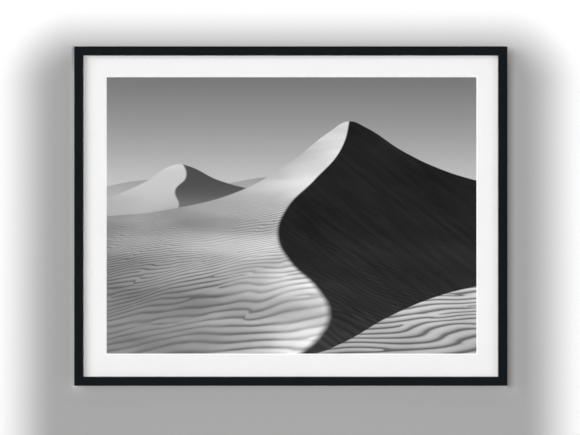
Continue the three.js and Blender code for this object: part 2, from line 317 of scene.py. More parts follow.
def stage_sheet(name, corners, finish):
    """A flat stage piece through four corners, which light and gloss on the frame take no notice of."""
    mesh = bpy.data.meshes.new(name)
    mesh.from_pydata(corners, [], [range(len(corners))])
    mesh.materials.append(finish)
    sheet = bpy.data.objects.new(name, mesh)
    bpy.context.scene.collection.objects.link(sheet)
    sheet.visible_diffuse = False
    sheet.visible_glossy = False
    print(name, "corners:", len(corners))
    return sheet


floor_z = centre_z - FLOOR_DROP
wall_corners = loop_round(WALL_HALF_WIDTH, floor_z, centre_z + WALL_HEIGHT)
wall = stage_sheet("wall", [(x, BEHIND_BUMPERS, z) for x, z in wall_corners], wall_paint)
wall.visible_shadow = False
floor_corners = loop_round(FLOOR_REACH, -FLOOR_REACH, FLOOR_REACH)
stage_sheet("floor", [(x, y, floor_z) for x, y in floor_corners], floor_finish)

# %% [markdown]
# The light is soft and comes from the left, as from a large window. A weaker light from the lower right
# opens the shade beside the frame, and a small one close to the camera fills it without making shadows of
# its own. None of these three shows in gloss, because a lamp mirrored in the acrylic would veil the
# picture. Three more stand behind the wall plane for the back, where metal needs them in its gloss. A
# real wall would keep them off the rails, whose sides would otherwise shine. This one lets their light
# through, so light linking leaves the rails out for the two strong ones, and the weak one gives the
# rails' backs a faint sheen.

# %% Lights
ASIDE_OF_CAMERA = 0.5

middle = Vector((0, front_y, centre_z))
beside_camera = camera.location + Vector((ASIDE_OF_CAMERA, 0, 0)) - middle
# Each row: name, place from the middle of the frame, width, height, watts, whether it shows in gloss,
# and whether it reaches the rails
LAMPS = [
    ("window_light", (-3.7, -5.1, 1.3), 4.9, 3.6, 217, False, True),
    ("fill_from_right", (3.3, -3.8, -0.9), 1.6, 1.6, 26, False, True),
    ("fill_by_camera", beside_camera, 0.3, 0.3, 44, False, True),
    ("back_light_left", (-1.6, 2.1, 1.1), 2.4, 2.0, 58, True, False),
    ("back_light_right", (1.9, 1.7, 0.5), 1.8, 2.2, 44, True, False),
    ("back_sheen", (-0.8, 2.6, 1.2), 2.2, 1.4, 12, True, True),
]
shaded_by_wall = bpy.data.collections.new("shaded by the wall")
for name, spot, width, height, watts, in_gloss, on_rails in LAMPS:
    data = bpy.data.lights.new(name, "AREA")
    data.shape = "RECTANGLE"
    data.size = width
    data.size_y = height
    data.energy = watts
    lamp = bpy.data.objects.new(name, data)
    lamp.location = middle + Vector(spot)
    lamp.rotation_euler = (-Vector(spot)).to_track_quat("-Z", "Y").to_euler()
    lamp.visible_glossy = in_gloss
    if not on_rails:
        lamp.light_linking.receiver_collection = shaded_by_wall
    bpy.context.scene.collection.objects.link(lamp)
print("lamps:", len(LAMPS))

# %% [markdown]
# The world gives even light from all sides. Seen past the edges of the wall and the floor it would be a
# flat dark grey, so the Light Path node lets the camera see a pale backdrop there instead, while the
# light itself stays as it is.

# %% Even light and a pale backdrop
AMBIENT = 0.25
BACKDROP = 0.95

world = bpy.data.worlds.new("studio air")
world.use_nodes = True
world.node_tree.nodes.clear()
node = partial(add, world.node_tree)
air = node("ShaderNodeBackground", {"Strength": AMBIENT})
backdrop = node("ShaderNodeBackground", {"Strength": BACKDROP})
seen = node("ShaderNodeLightPath").outputs["Is Camera Ray"]
node("ShaderNodeOutputWorld", [node("ShaderNodeMixShader", [seen, air, backdrop])])
bpy.context.scene.world = world
tell(world)

# %% [markdown]
# Behind the camera hangs a black card that only reflections see. It keeps the acrylic clear, as
# photographers do when they copy a glazed picture.

# %% A black card behind the camera
CARD_HALF_SIZE = 2.6
CARD_BEHIND_CAMERA = 0.6

card_black, node = new_finish("black card")
node("ShaderNodeOutputMaterial", [node("ShaderNodeBsdfDiffuse", [srgb("#000000")])])
card_y = camera.location.y - CARD_BEHIND_CAMERA
# The half width is negative so that the loop runs the other way and the card faces the frame
card_corners = loop_round(-CARD_HALF_SIZE, centre_z - CARD_HALF_SIZE, centre_z + CARD_HALF_SIZE)
card = stage_sheet("black_card", [(x, card_y, z) for x, z in card_corners], card_black)
card.visible_glossy = True
card.visible_camera = False
card.visible_shadow = False

# %% [markdown]
# The rails are wood, sprayed with a thin satin black lacquer. The film follows the pores, so the grain
# still shows as faint lines when light grazes it, and the tone is a soft bluish black. A wave texture
# could draw the lines, but too evenly. Grain is long along a rail and fine across it, so a noise texture
# is stretched instead: its scale along the rail is about a fortieth of the one across.

# %% Black lacquered wood
# The pores of such wood are about 0.2 mm wide. They are drawn coarser, to show.
GRAIN_ACROSS = 0.7 * MM
GRAIN_ALONG = 32 * MM
GRAIN_RELIEF = 0.03 * MM


def lacquered_wood(name, along):
    """Satin black lacquer on wood whose grain runs along one axis, 0 for X or 2 for Z."""
    finish, node = new_finish(name)
    place = node("ShaderNodeTexCoord").outputs["Object"]
    scale = tuple(1 / (GRAIN_ALONG if axis == along else GRAIN_ACROSS) for axis in range(3))
    stretched = node("ShaderNodeMapping", {"Vector": place, "Scale": scale})
    grain = node("ShaderNodeTexNoise", {"Vector": stretched, "Scale": 1.0, "Detail": 5.0, "Roughness": 0.6})
    pore_limits = {"Value": grain, "From Min": 0.36, "From Max": 0.5}
    pores = node("ShaderNodeMapRange", pore_limits, interpolation_type="SMOOTHSTEP")
    two_blacks = {"Factor": pores, "A": srgb("#0c1113"), "B": srgb("#12171a")}
    tone = node("ShaderNodeMix", two_blacks, data_type="RGBA")
    sheen = node("ShaderNodeMapRange", {"Value": grain, "To Min": 0.6, "To Max": 0.44})
    relief = node("ShaderNodeBump", {"Strength": 0.5, "Distance": GRAIN_RELIEF, "Height": pores})
    satin = {"Base Color": tone, "Roughness": sheen, "Normal": relief, "Specular IOR Level": 0.4}
    node("ShaderNodeOutputMaterial", [node("ShaderNodeBsdfPrincipled", satin)])
    tell(finish)
    return finish


lying_wood = lacquered_wood("satin black lacquered wood, lying", 0)
standing_wood = lacquered_wood("satin black lacquered wood, standing", 2)

# %% [markdown]
# Geometry Nodes grow a piece from rules: the tree is built once and run with other numbers for each
# copy. These helpers make an empty tree with named inputs, end it, and run it on a start mesh. The
# modifier's inputs are set by their identifiers, and the result is kept as a plain mesh.

# %% Making and running a geometry tree
def new_tree(name, inputs):
    """An empty geometry tree, the function that adds its nodes, and its named inputs."""
    tree = bpy.data.node_groups.new(name, "GeometryNodeTree")
    rows = [("Geometry", "Geometry", "INPUT")]
    rows += [(label, kind, "INPUT") for kind, labels in inputs.items() for label in labels.split(", ")]
    rows += [("Geometry", "Geometry", "OUTPUT")]
    for label, kind, way in rows:
        tree.interface.new_socket(label, in_out=way, socket_type=f"NodeSocket{kind}")
    node = partial(add, tree)
    return tree, node, node("NodeGroupInput").outputs


def deliver(node, geometry, given):
    """Ends a geometry tree: copies become real meshes, and every face gets the finish."""
    realized = node("GeometryNodeRealizeInstances", [geometry])
    finished = node("GeometryNodeSetMaterial", {"Geometry": realized, "Material": given["Finish"]})
    node("NodeGroupOutput", [finished])


def plain_copy(piece):
    """What a piece's modifiers make of it, as a plain mesh."""
    evaluated = piece.evaluated_get(bpy.context.evaluated_depsgraph_get())
    mesh = bpy.data.meshes.new_from_object(evaluated)
    mesh.name = piece.name
    return mesh


def grow(name, tree, values, start=None, rounding=None):
    """Runs a tree on a start mesh, rounds edges if asked, and returns the plain result."""
    piece = bpy.data.objects.new(name, start or bpy.data.meshes.new(name + "_start"))
    bpy.context.scene.collection.objects.link(piece)
    modifier = piece.modifiers.new("grow", "NODES")
    modifier.node_group = tree
    for item in tree.interface.items_tree:
        if item.name in values:
            modifier[item.identifier] = values[item.name]
    if rounding:
        edges = piece.modifiers.new("round the edges", "BEVEL")
        for setting, value in rounding.items():
            setattr(edges, setting, value)
    mesh = plain_copy(piece)
    # A tree's own start shapes bring an empty material slot along, which no face uses
    if mesh.materials[0] is None:
        mesh.materials.pop(index=0)
    piece.modifiers.clear()
    piece.data = mesh
    return piece


def fit(piece, body, slot_name, *solids):
    """Puts a piece on its body and hides the solids it stands for. The slot name is not used."""
    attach(piece, body)
    if solids:
        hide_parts(*solids)


# %% [markdown]
# The rails are one moulding cut into four lengths with mitred ends. A section could be swept along a
# line, but its ends would be square and would have to be cut. A prism with six sides has as many corners
# as the moulding's L-shaped section, so the tree starts from one: each corner moves to its place in the
# section, and each end slides along the rail by the corner's distance from the outer face, which makes
# the 45 degree mitre.

# %% The moulding's tree
# Each corner of the section: inward from the outer face, depth, and share of the largest rounding
SECTION = [
    (None, "Front", 1.0),
    ("Face width", "Front", 0.75),
    ("Face width", "Lip back", 0.3),
    ("Land width", "Lip back", 0.0),
    ("Land width", "Back", 0.4),
    (None, "Back", 0.6),
]
RAIL_SIZES = (
    "Length, Across, Face width, Land width, Front, Lip back, Back, Mitre gap, Quarter turns, Centre height"
)

rail_tree, node, given = new_tree("mitred rail", {"Float": RAIL_SIZES, "Material": "Finish"})
prism = node(
    "GeometryNodeMeshCylinder",
    {"Vertices": len(SECTION), "Side Segments": 1, "Radius": 1.0, "Depth": 1.0},
    fill_type="NGON",
)
corner = node("FunctionNodeIntegerMath", [node("GeometryNodeInputIndex"), len(SECTION)], operation="MODULO")
section = node("GeometryNodeIndexSwitch", data_type="VECTOR")
share_of = node("GeometryNodeIndexSwitch", data_type="FLOAT")
# An index switch starts with two items
for _ in SECTION[2:]:
    section.index_switch_items.new()
    share_of.index_switch_items.new()
spots = [
    node("ShaderNodeCombineXYZ", {"X": given[inward] if inward else 0.0, "Y": given[depth]})
    for inward, depth, _ in SECTION
]
wire(section, [corner, *spots])
inward, depth, _ = node("ShaderNodeSeparateXYZ", [section]).outputs
position = node("ShaderNodeSeparateXYZ", [node("GeometryNodeInputPosition")])
end = node("ShaderNodeMath", [position.outputs["Z"]], operation="SIGN")
length = node("ShaderNodeMath", [given["Length"], given["Mitre gap"]], operation="SUBTRACT")
reach = node("ShaderNodeMath", [length, 0.5], operation="MULTIPLY")
slid = node("ShaderNodeMath", [reach, inward], operation="SUBTRACT")
along = node("ShaderNodeMath", [slid, end], operation="MULTIPLY")
up = node("ShaderNodeMath", [given["Across"], 0.5], operation="MULTIPLY")
height = node("ShaderNodeMath", [up, inward], operation="SUBTRACT")
spot = node("ShaderNodeCombineXYZ", [along, depth, height])
shaped = node("GeometryNodeSetPosition", {"Geometry": prism, "Position": spot})
tell(rail_tree)

# %% [markdown]
# The tree also says how much each edge is rounded, as a bevel weight that the Bevel modifier reads. Long
# edges take the share of their corner, and the sharp edges of a mitre only a little of it.

# %% Edge roundings, turning and finish of the moulding
LARGEST_ROUNDING = 0.8 * MM
MITRE_ROUNDING_SHARE = 0.12

first, second, *_ = node("GeometryNodeInputMeshEdgeVertices").outputs
edge_corner = node("FunctionNodeIntegerMath", [first, len(SECTION)], operation="MODULO")
wire(share_of, [edge_corner, *[share for _, _, share in SECTION]])
apart = node("FunctionNodeIntegerMath", [first, second], operation="SUBTRACT")
apart = node("FunctionNodeIntegerMath", [apart], operation="ABSOLUTE")
is_long = node("FunctionNodeCompare", {"A": apart, "B": len(SECTION)}, data_type="INT", operation="EQUAL")
weight = node(
    "GeometryNodeSwitch",
    {"Switch": is_long, "False": MITRE_ROUNDING_SHARE, "True": share_of},
    input_type="FLOAT",
)
weighted = node(
    "GeometryNodeStoreNamedAttribute",
    {"Geometry": shaped, "Name": "bevel_weight_edge", "Value": weight},
    data_type="FLOAT",
    domain="EDGE",
)
quarter = node("ShaderNodeMath", [given["Quarter turns"], math.pi / 2], operation="MULTIPLY")
turned = node(
    "GeometryNodeTransform",
    {
        "Geometry": weighted,
        "Rotation": node("ShaderNodeCombineXYZ", {"Y": quarter}),
        "Translation": node("ShaderNodeCombineXYZ", {"Z": given["Centre height"]}),
    },
)
deliver(node, turned, given)
tell(rail_tree)

# %% [markdown]
# The tree runs four times. Lying rails are as long as the frame is wide, standing ones as it is high, and
# each is turned a quarter further. A hairline of a gap is left in every mitre, as on the real frame.

# %% Four rails
MITRE_GAP = 0.1 * MM
RAIL_EDGES = {"limit_method": "WEIGHT", "width": LARGEST_ROUNDING, "segments": 4, "harden_normals": True}

for turns, side_name in enumerate(("top", "right", "bottom", "left")):
    lies = turns % 2 == 0
    rail_sizes = {
        "Length": outer_width if lies else outer_height,
        "Across": outer_height if lies else outer_width,
        "Face width": face_width,
        "Land width": land_width,
        "Front": front_y,
        "Lip back": lip_back_y,
        "Back": back_y,
        "Mitre gap": MITRE_GAP,
        "Quarter turns": float(turns),
        "Centre height": centre_z,
        "Finish": lying_wood if lies else standing_wood,
    }
    rail = grow(f"moulding_{side_name}", rail_tree, rail_sizes, rounding=RAIL_EDGES)
    fit(rail, "frame", "black_wood", f"rail_{side_name}")
    shaded_by_wall.objects.link(rail)
    shaded_by_wall.collection_objects[-1].light_linking.link_state = "EXCLUDE"
    print(rail.name, "faces:", len(rail.data.polygons))

# %% [markdown]
# Clear acrylic is almost nothing to look at: light goes straight through, and about four percent turns
# back at its outer faces, more at a slant. A glass shader would bend light and darken what lies behind
# it. A mix of a transparent and a glossy shader, led by the Fresnel node, keeps the picture bright and
# still catches a lamp when the frame is seen from the side. From inside the sheet the Fresnel node would
# mirror everything at a slant, so there the surface is simply clear.

# %% Clear acrylic
acrylic, node = new_finish("clear cast acrylic")
turned_back = node("ShaderNodeFresnel", {"IOR": 1.49})
clear = node("ShaderNodeBsdfTransparent", [srgb("#ffffff")])
gloss = node("ShaderNodeBsdfGlossy", {"Color": srgb("#ffffff"), "Roughness": 0.02})
outer_face = node("ShaderNodeMixShader", [turned_back, clear, gloss])
from_inside = node("ShaderNodeNewGeometry").outputs["Backfacing"]
node("ShaderNodeOutputMaterial", [node("ShaderNodeMixShader", [from_inside, outer_face, clear])])
tell(acrylic)


def dress(node_name, finish):
    """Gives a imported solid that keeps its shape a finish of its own."""
    solid = nodes[node_name]
    solid.data.materials.clear()
    solid.data.materials.append(finish)


dress("glazing", acrylic)

# %% [markdown]
# Mat board is pressed cotton or wood pulp with a fine tooth, and its white core shows where the window
# is cut at 45 degrees. The core makes the thin light line round the picture: it is whiter than the face
# paper, and it glows a little, a painted light that keeps the bevel bright where it faces away from the
# lamps. Two materials on the board's faces would do, but one finish can tell both apart by place, because
# the bevel is the narrow band just outside the window.

# %% Mat board
BEVEL_REACH = mat_high.y - mat_low.y
TOOTH_SIZE = 0.35 * MM
TOOTH_RELIEF = 0.02 * MM
CLOUD_SIZE = 33 * MM
CORE_PAINTED_LIGHT = 0.22

mat_board, node = new_finish("white mat board")
place = node("ShaderNodeTexCoord").outputs["Object"]
from_middle = node("ShaderNodeVectorMath", [place, window_middle], operation="SUBTRACT")
spread = node("ShaderNodeVectorMath", [from_middle], operation="ABSOLUTE")
across, _, up = node("ShaderNodeSeparateXYZ", [spread]).outputs
beside = node("ShaderNodeMath", [across, window_width / 2 + BEVEL_REACH], operation="LESS_THAN")
level = node("ShaderNodeMath", [up, window_height / 2 + BEVEL_REACH], operation="LESS_THAN")
core = node("ShaderNodeMath", [beside, level], operation="MULTIPLY")
tooth_look = {"Vector": place, "Scale": 1 / TOOTH_SIZE, "Detail": 3.0, "Roughness": 0.6}
tooth = node("ShaderNodeTexNoise", tooth_look)
cloud = node("ShaderNodeTexNoise", {"Vector": place, "Scale": 1 / CLOUD_SIZE, "Detail": 2.0})
two_whites = {"Factor": cloud, "A": srgb("#f3f3f3"), "B": srgb("#f6f6f6")}
face_tone = node("ShaderNodeMix", two_whites, data_type="RGBA")
tone = node("ShaderNodeMix", {"Factor": core, "A": face_tone, "B": srgb("#ffffff")}, data_type="RGBA")
relief = node("ShaderNodeBump", {"Strength": 0.35, "Distance": TOOTH_RELIEF, "Height": tooth})
mat_look = {"Base Color": tone, "Roughness": 0.9, "Normal": relief, "Specular IOR Level": 0.2}
# The core's glow is painted light on the bevel
mat_look |= {"Emission Color": core, "Emission Strength": CORE_PAINTED_LIGHT}
node("ShaderNodeOutputMaterial", [node("ShaderNodeBsdfPrincipled", mat_look)])
dress("window_mat", mat_board)
tell(mat_board)

# %% [markdown]
# The print is a monochrome photograph of sand dunes under a clear sky, a subject of our own for the
# place of the picture. Dunes could be modelled and rendered into an image, but the script keeps no image
# files, so nodes paint them in picture coordinates, where one is the width of the picture. They go from
# back to front as a painter works: sky, far range, middle dune, main dune, foreground. Skylines and
# crests are smooth curves through a few points, and every tone is a grey.

# %% Picture helpers
# Nearly all values of a noise texture lie in this span
NOISE_SPAN = {"From Min": 0.3, "From Max": 0.7}


def under(node, value, edge, softness):
    """1 where a value is less than an edge, 0 where it is more, with a soft step between."""
    gap = node("ShaderNodeMath", [edge, value], operation="SUBTRACT")
    gap = node("ShaderNodeMath", [gap, softness], operation="DIVIDE")
    return node("ShaderNodeMapRange", {"Value": gap, "From Min": -1.0}, interpolation_type="SMOOTHSTEP")


def paint_over(node, back, front, value, edge, softness):
    """Lays a tone over the picture wherever a value is under an edge."""
    mask = under(node, value, edge, softness)
    return node("ShaderNodeMix", {"Factor": mask, "A": back, "B": front}, data_type="FLOAT")


def varied(node, tone, pattern, low, high):
    """A tone that a noise pattern scales by a factor from low to high."""
    factor = node("ShaderNodeMapRange", {"Value": pattern, "To Min": low, "To Max": high} | NOISE_SPAN)
    return node("ShaderNodeMath", [tone, factor], operation="MULTIPLY")


# %% [markdown]
# Wind ripples are long waves in the sand with a gentle sunlit side and a short shaded one. They lie on
# sloping ground, so they crowd together towards the line where their plane would vanish. Dividing by
# the height under that line turns picture places into places on the ground. There a Gabor texture makes
# waves of one direction and spacing, which part and join as real ripples do. Its phase runs from 0 to 1
# over each wave, and a curve gives that run the light of a ripple.

# %% Wind ripples
RIPPLE_LIGHT = [(0, 0.55), (0.2, 0.78), (0.42, 0.86), (0.6, 0.62), (0.74, 0.08), (0.86, 0.2), (1, 0.55)]
WAVES_PER_CELL = 3.0
NEAREST_TO_VANISHING = 0.03
# How far a slow noise bends the lines, across and away
WANDER = (0.4, 0.7, 0)
# Ripples far off are too fine to see. They come clear over this span under the vanishing line.
COMES_CLEAR = {"From Min": 0.05, "From Max": 0.24}


def wind_ripples(node, across, up, vanishing, tilt, waves, degrees, seed):
    """The light of ripples on ground that vanishes at vanishing + tilt * across, and how far under it."""
    line = node("ShaderNodeMath", [across, tilt, vanishing], operation="MULTIPLY_ADD")
    below = node("ShaderNodeMath", [line, up], operation="SUBTRACT")
    below = node("ShaderNodeMath", [below, NEAREST_TO_VANISHING], operation="MAXIMUM")
    away = node("ShaderNodeMath", [1.0, below], operation="DIVIDE")
    aside = node("ShaderNodeMath", [across, 0.5], operation="SUBTRACT")
    aside = node("ShaderNodeMath", [aside, away], operation="MULTIPLY")
    ground = node("ShaderNodeCombineXYZ", [aside, away, seed])
    drift = node("ShaderNodeTexNoise", {"Vector": ground, "Scale": 0.8, "Detail": 2.0}).outputs["Color"]
    bent = node("ShaderNodeVectorMath", [drift, WANDER, ground], operation="MULTIPLY_ADD")
    wave_look = {"Scale": waves / WAVES_PER_CELL, "Frequency": WAVES_PER_CELL, "Anisotropy": 0.96}
    wave_look |= {"Vector": bent, "Orientation": math.radians(degrees)}
    phase = node("ShaderNodeTexGabor", wave_look, gabor_type="2D").outputs["Phase"]
    light = node("ShaderNodeFloatCurve", {"Value": phase}, curve=RIPPLE_LIGHT)
    return light, below


def rippled(node, tone, light, depth, darkest, brightest):
    """A tone with ripples on it, which fade away where depth is 0."""
    factor = node("ShaderNodeMapRange", {"Value": light, "To Min": darkest, "To Max": brightest})
    factor = node("ShaderNodeMix", {"Factor": depth, "A": 1.0, "B": factor}, data_type="FLOAT")
    return node("ShaderNodeMath", [tone, factor], operation="MULTIPLY")


# %% [markdown]
# The paper holds the picture in its finish, so the sheet itself stays flat. Object coordinates are moved,
# turned and scaled until the window's lower left corner is zero and its width is one. Broad swells and
# patches are made first, because all dunes share them: real sand is never of one tone.

# %% Photo paper: picture coordinates
SWELL_DEGREES = -18
SWELLS_PER_PICTURE = (2.9, 11.7, 1)

photo_paper, node = new_finish("lustre photo paper")
place = node("ShaderNodeTexCoord").outputs["Object"]
corner_right = window_width / 2 - window_middle.x
corner_up = window_height / 2 - window_middle.z
to_picture = {
    "Vector": place,
    "Location": (corner_right / window_width, corner_up / window_width, 0),
    "Rotation": (-math.pi / 2, 0, 0),
    "Scale": (1 / window_width, 1 / window_width, 1 / window_width),
}
flat = node("ShaderNodeVectorMath", [node("ShaderNodeMapping", to_picture), (1, 1, 0)], operation="MULTIPLY")
across, up, _ = node("ShaderNodeSeparateXYZ", [flat]).outputs
slant = (0, 0, math.radians(SWELL_DEGREES))
slanted = node("ShaderNodeMapping", {"Vector": flat, "Rotation": slant, "Scale": SWELLS_PER_PICTURE})
swell_look = {"Vector": slanted, "Scale": 1.0, "Detail": 3.0, "Roughness": 0.4, "Distortion": 0.6}
swell = node("ShaderNodeTexNoise", swell_look)
patches = node("ShaderNodeTexNoise", {"Vector": flat, "Scale": 4.0, "Detail": 4.0})
tell(photo_paper)

# %% [markdown]
# A clear sky is lightest at the horizon, where one looks through the most haze, and a red filter on
# black and white film darkens it above. A curve from height to grey is all it takes. The far range is a
# low line of dunes almost as light as the haze.

# %% Sky and far range
sky = greys((0.40, 0xD4), (0.47, 0xC4), (0.58, 0xA4), (0.75, 0x78))
picture = node("ShaderNodeFloatCurve", {"Value": up}, curve=sky)
far_range = [
    (0, 0.452), (0.12, 0.470), (0.27, 0.455), (0.45, 0.478),
    (0.70, 0.458), (0.86, 0.474), (1, 0.462),
]
skyline = node("ShaderNodeFloatCurve", {"Value": across}, curve=far_range)
haze = node("ShaderNodeFloatCurve", {"Value": up}, curve=greys((0.40, 0xBE), (0.44, 0xB0), (0.48, 0x9C)))
picture = paint_over(node, picture, haze, up, skyline, softness=0.0016)
tell(photo_paper)

# %% [markdown]
# Each dune is a skyline with a crest in it. The crest parts the side that faces the sun from the one in
# shade, and as it runs towards the viewer, its curve gives a place across for each height.

# %% Middle dune
middle_dune = [
    (0, 0.418), (0.10, 0.462), (0.19, 0.512), (0.225, 0.506),
    (0.30, 0.470), (0.42, 0.440), (0.60, 0.425), (1, 0.410),
]
middle_crest = [(0.36, 0.170), (0.40, 0.195), (0.44, 0.185), (0.48, 0.215), (0.52, 0.200)]
skyline = node("ShaderNodeFloatCurve", {"Value": across}, curve=middle_dune)
crest = node("ShaderNodeFloatCurve", {"Value": up}, curve=middle_crest)
sunlit = node("ShaderNodeFloatCurve", {"Value": up}, curve=greys((0.36, 0xB2), (0.42, 0xC4), (0.52, 0xD8)))
sunlit = varied(node, sunlit, swell, low=0.82, high=1.08)
shade = greys((0.36, 0x96), (0.41, 0x6E), (0.45, 0x54), (0.52, 0x4E))
shaded = node("ShaderNodeFloatCurve", {"Value": up}, curve=shade)
dune = paint_over(node, shaded, sunlit, across, crest, softness=0.0035)
picture = paint_over(node, picture, dune, up, skyline, softness=0.0012)
tell(photo_paper)

# %% [markdown]
# The main dune fills the picture from its top to the lower edge. Its sunlit side is brightest at the
# crest, where it faces the sun most squarely, and the wind has worn its ripples in patches.

# %% The sunlit side of the main dune
main_crest = [
    (0, 0.520), (0.05, 0.575), (0.11, 0.600), (0.18, 0.565), (0.25, 0.495),
    (0.32, 0.462), (0.39, 0.485), (0.47, 0.562), (0.55, 0.632), (0.63, 0.656),
]
crest = node("ShaderNodeFloatCurve", {"Value": up}, curve=main_crest)
from_crest = node("ShaderNodeMath", [crest, across], operation="SUBTRACT")
sun = greys((0, 0xEE), (0.05, 0xE2), (0.16, 0xC8), (0.34, 0xAC), (0.66, 0x96))
sunlit = node("ShaderNodeFloatCurve", {"Value": from_crest}, curve=sun)
sunlit = varied(node, sunlit, swell, low=0.62, high=1.16)
ground = {"vanishing": 0.50, "tilt": 0.21, "waves": 12.0, "degrees": 80, "seed": 0.0}
light, below = wind_ripples(node, across, up, **ground)
near = node("ShaderNodeMapRange", {"Value": below} | COMES_CLEAR, interpolation_type="SMOOTHSTEP")
wear = {"Value": patches, "From Min": 0.35, "From Max": 0.6, "To Min": 0.35, "To Max": 0.95}
worn = node("ShaderNodeMapRange", wear)
depth = node("ShaderNodeMath", [near, worn], operation="MULTIPLY")
sunlit = rippled(node, sunlit, light, depth, darkest=0.22, brightest=1.15)
tell(photo_paper)

# %% [markdown]
# The shaded side is a slip face, where sand slides down in thin tongues. Drawn one by one they would
# look combed, so they are a noise texture stretched along the slope, with faint ripples near the foot.

# %% The shaded side of the main dune
SLIP_DEGREES = -38
SLIP_LENGTH = 0.16
SLIP_WIDTH = 0.014

main_dune = [
    (0, 0.372), (0.18, 0.392), (0.36, 0.440), (0.50, 0.520), (0.60, 0.598),
    (0.655, 0.628), (0.70, 0.612), (0.80, 0.548), (0.90, 0.500), (1, 0.468),
]
skyline = node("ShaderNodeFloatCurve", {"Value": across}, curve=main_dune)
shade = greys((0, 0x3A), (0.15, 0x2E), (0.35, 0x25), (0.62, 0x1F))
shaded = node("ShaderNodeFloatCurve", {"Value": up}, curve=shade)
slope = {"Rotation": (0, 0, math.radians(SLIP_DEGREES)), "Scale": (SLIP_LENGTH, SLIP_WIDTH, 1)}
down_slope = node("ShaderNodeMapping", {"Vector": flat} | slope, vector_type="TEXTURE")
slips = node("ShaderNodeTexNoise", {"Vector": down_slope, "Scale": 1.0, "Detail": 3.0, "Distortion": 0.4})
shaded = varied(node, shaded, slips, low=0.74, high=1.34)
shaded = varied(node, shaded, swell, low=0.84, high=1.14)
ground = {"vanishing": 0.80, "tilt": -0.30, "waves": 17.0, "degrees": 70, "seed": 5.0}
light, below = wind_ripples(node, across, up, **ground)
near = node("ShaderNodeMapRange", {"Value": below} | COMES_CLEAR, interpolation_type="SMOOTHSTEP")
shaded = rippled(node, shaded, light, near, darkest=0.68, brightest=1.2)
# The crest is sharp far up and rounder near the viewer
crest_run = {"Value": up, "From Max": 0.5, "To Min": 0.016, "To Max": 0.0022}
dune = paint_over(node, shaded, sunlit, across, crest, softness=node("ShaderNodeMapRange", crest_run))
picture = paint_over(node, picture, dune, up, skyline, softness=0.0012)
tell(photo_paper)

# %% [markdown]
# A last dune rises at the lower right, close to the viewer, so its ripples are the broadest and deepest.

# %% Foreground dune
near_dune = [(0, 0), (0.56, 0), (0.64, 0.030), (0.76, 0.098), (0.88, 0.150), (1, 0.182)]
skyline = node("ShaderNodeFloatCurve", {"Value": across}, curve=near_dune)
ground = {"vanishing": 0.34, "tilt": 0.06, "waves": 6.6, "degrees": 96, "seed": 9.0}
light, _ = wind_ripples(node, across, up, **ground)
sunlit = node("ShaderNodeFloatCurve", {"Value": up}, curve=greys((0, 0xC4), (0.10, 0xD6), (0.20, 0xEC)))
sunlit = varied(node, sunlit, patches, low=0.75, high=1.1)
sunlit = rippled(node, sunlit, light, 1.0, darkest=0.16, brightest=1.1)
picture = paint_over(node, picture, sunlit, up, skyline, softness=0.0014)
tell(photo_paper)

# %% [markdown]
# Lustre photo paper is coated with resin and rolled with a fine pebbled grain, which breaks up its gloss.
# Over the dunes lies the grain of the film, which is what tells a photograph from a drawing.

# %% Film grain, paper surface and sheen
# Grains of small film come out 0.3 mm wide in a print of this size. They are drawn coarser, to show.
FILM_GRAIN = 0.87 * MM
PEBBLE_SIZE = 0.3 * MM
PEBBLE_RELIEF = 0.008 * MM

grains = node("ShaderNodeTexNoise", {"Vector": flat, "Scale": window_width / FILM_GRAIN, "Detail": 1.0})
picture = varied(node, picture, grains, low=0.9, high=1.1)
pebbles = node("ShaderNodeTexNoise", {"Vector": place, "Scale": 1 / PEBBLE_SIZE, "Detail": 1.0})
relief = node("ShaderNodeBump", {"Strength": 0.3, "Distance": PEBBLE_RELIEF, "Height": pebbles})
lustre = {"Base Color": picture, "Roughness": 0.42, "Normal": relief, "Specular IOR Level": 0.3}
node("ShaderNodeOutputMaterial", [node("ShaderNodeBsdfPrincipled", lustre)])
dress("print_sheet", photo_paper)
tell(photo_paper)

# %% [markdown]
# The mounting board is foam board: two sheets of white paper with stiff foam between them. Only its
# edges could ever be seen, through the joint round the backing, so its finish is simple. Foam has fine
# closed cells, and a Voronoi texture is made of cells, so it gives the relief.

# %% Foam board
CELL_SIZE = 0.4 * MM
CELL_RELIEF = 0.05 * MM

foam_board, node = new_finish("white foam board")
place = node("ShaderNodeTexCoord").outputs["Object"]
cells = node("ShaderNodeTexVoronoi", {"Vector": place, "Scale": 1 / CELL_SIZE})
relief = node("ShaderNodeBump", {"Strength": 0.4, "Distance": CELL_RELIEF, "Height": cells})
paper = {"Base Color": srgb("#f2f2ee"), "Roughness": 0.8, "Normal": relief}
node("ShaderNodeOutputMaterial", [node("ShaderNodeBsdfPrincipled", paper)])
dress("mount_board", foam_board)
tell(foam_board)

# %% [markdown]
# The backing is hardboard, wood fibres pressed flat with their own resin. Its smooth side is brown with
# a slight polish, and short fibres of lighter and darker wood lie in it in every direction. Fibres could
# be scattered as curves, but there are millions, so three noise textures stretched in three directions
# draw them, and a slow one gives the cloudy change of tone that a pressed sheet has.

# %% Hardboard
FIBRE_LENGTH = 1.6 * MM
FIBRE_WIDTH = 0.16 * MM
FIBRE_RELIEF = 0.04 * MM
FIBRE_DEGREES = (25, -50, 80)
PRESSED_CLOUD = 110 * MM
SPECK_SPACING = 1.1 * MM

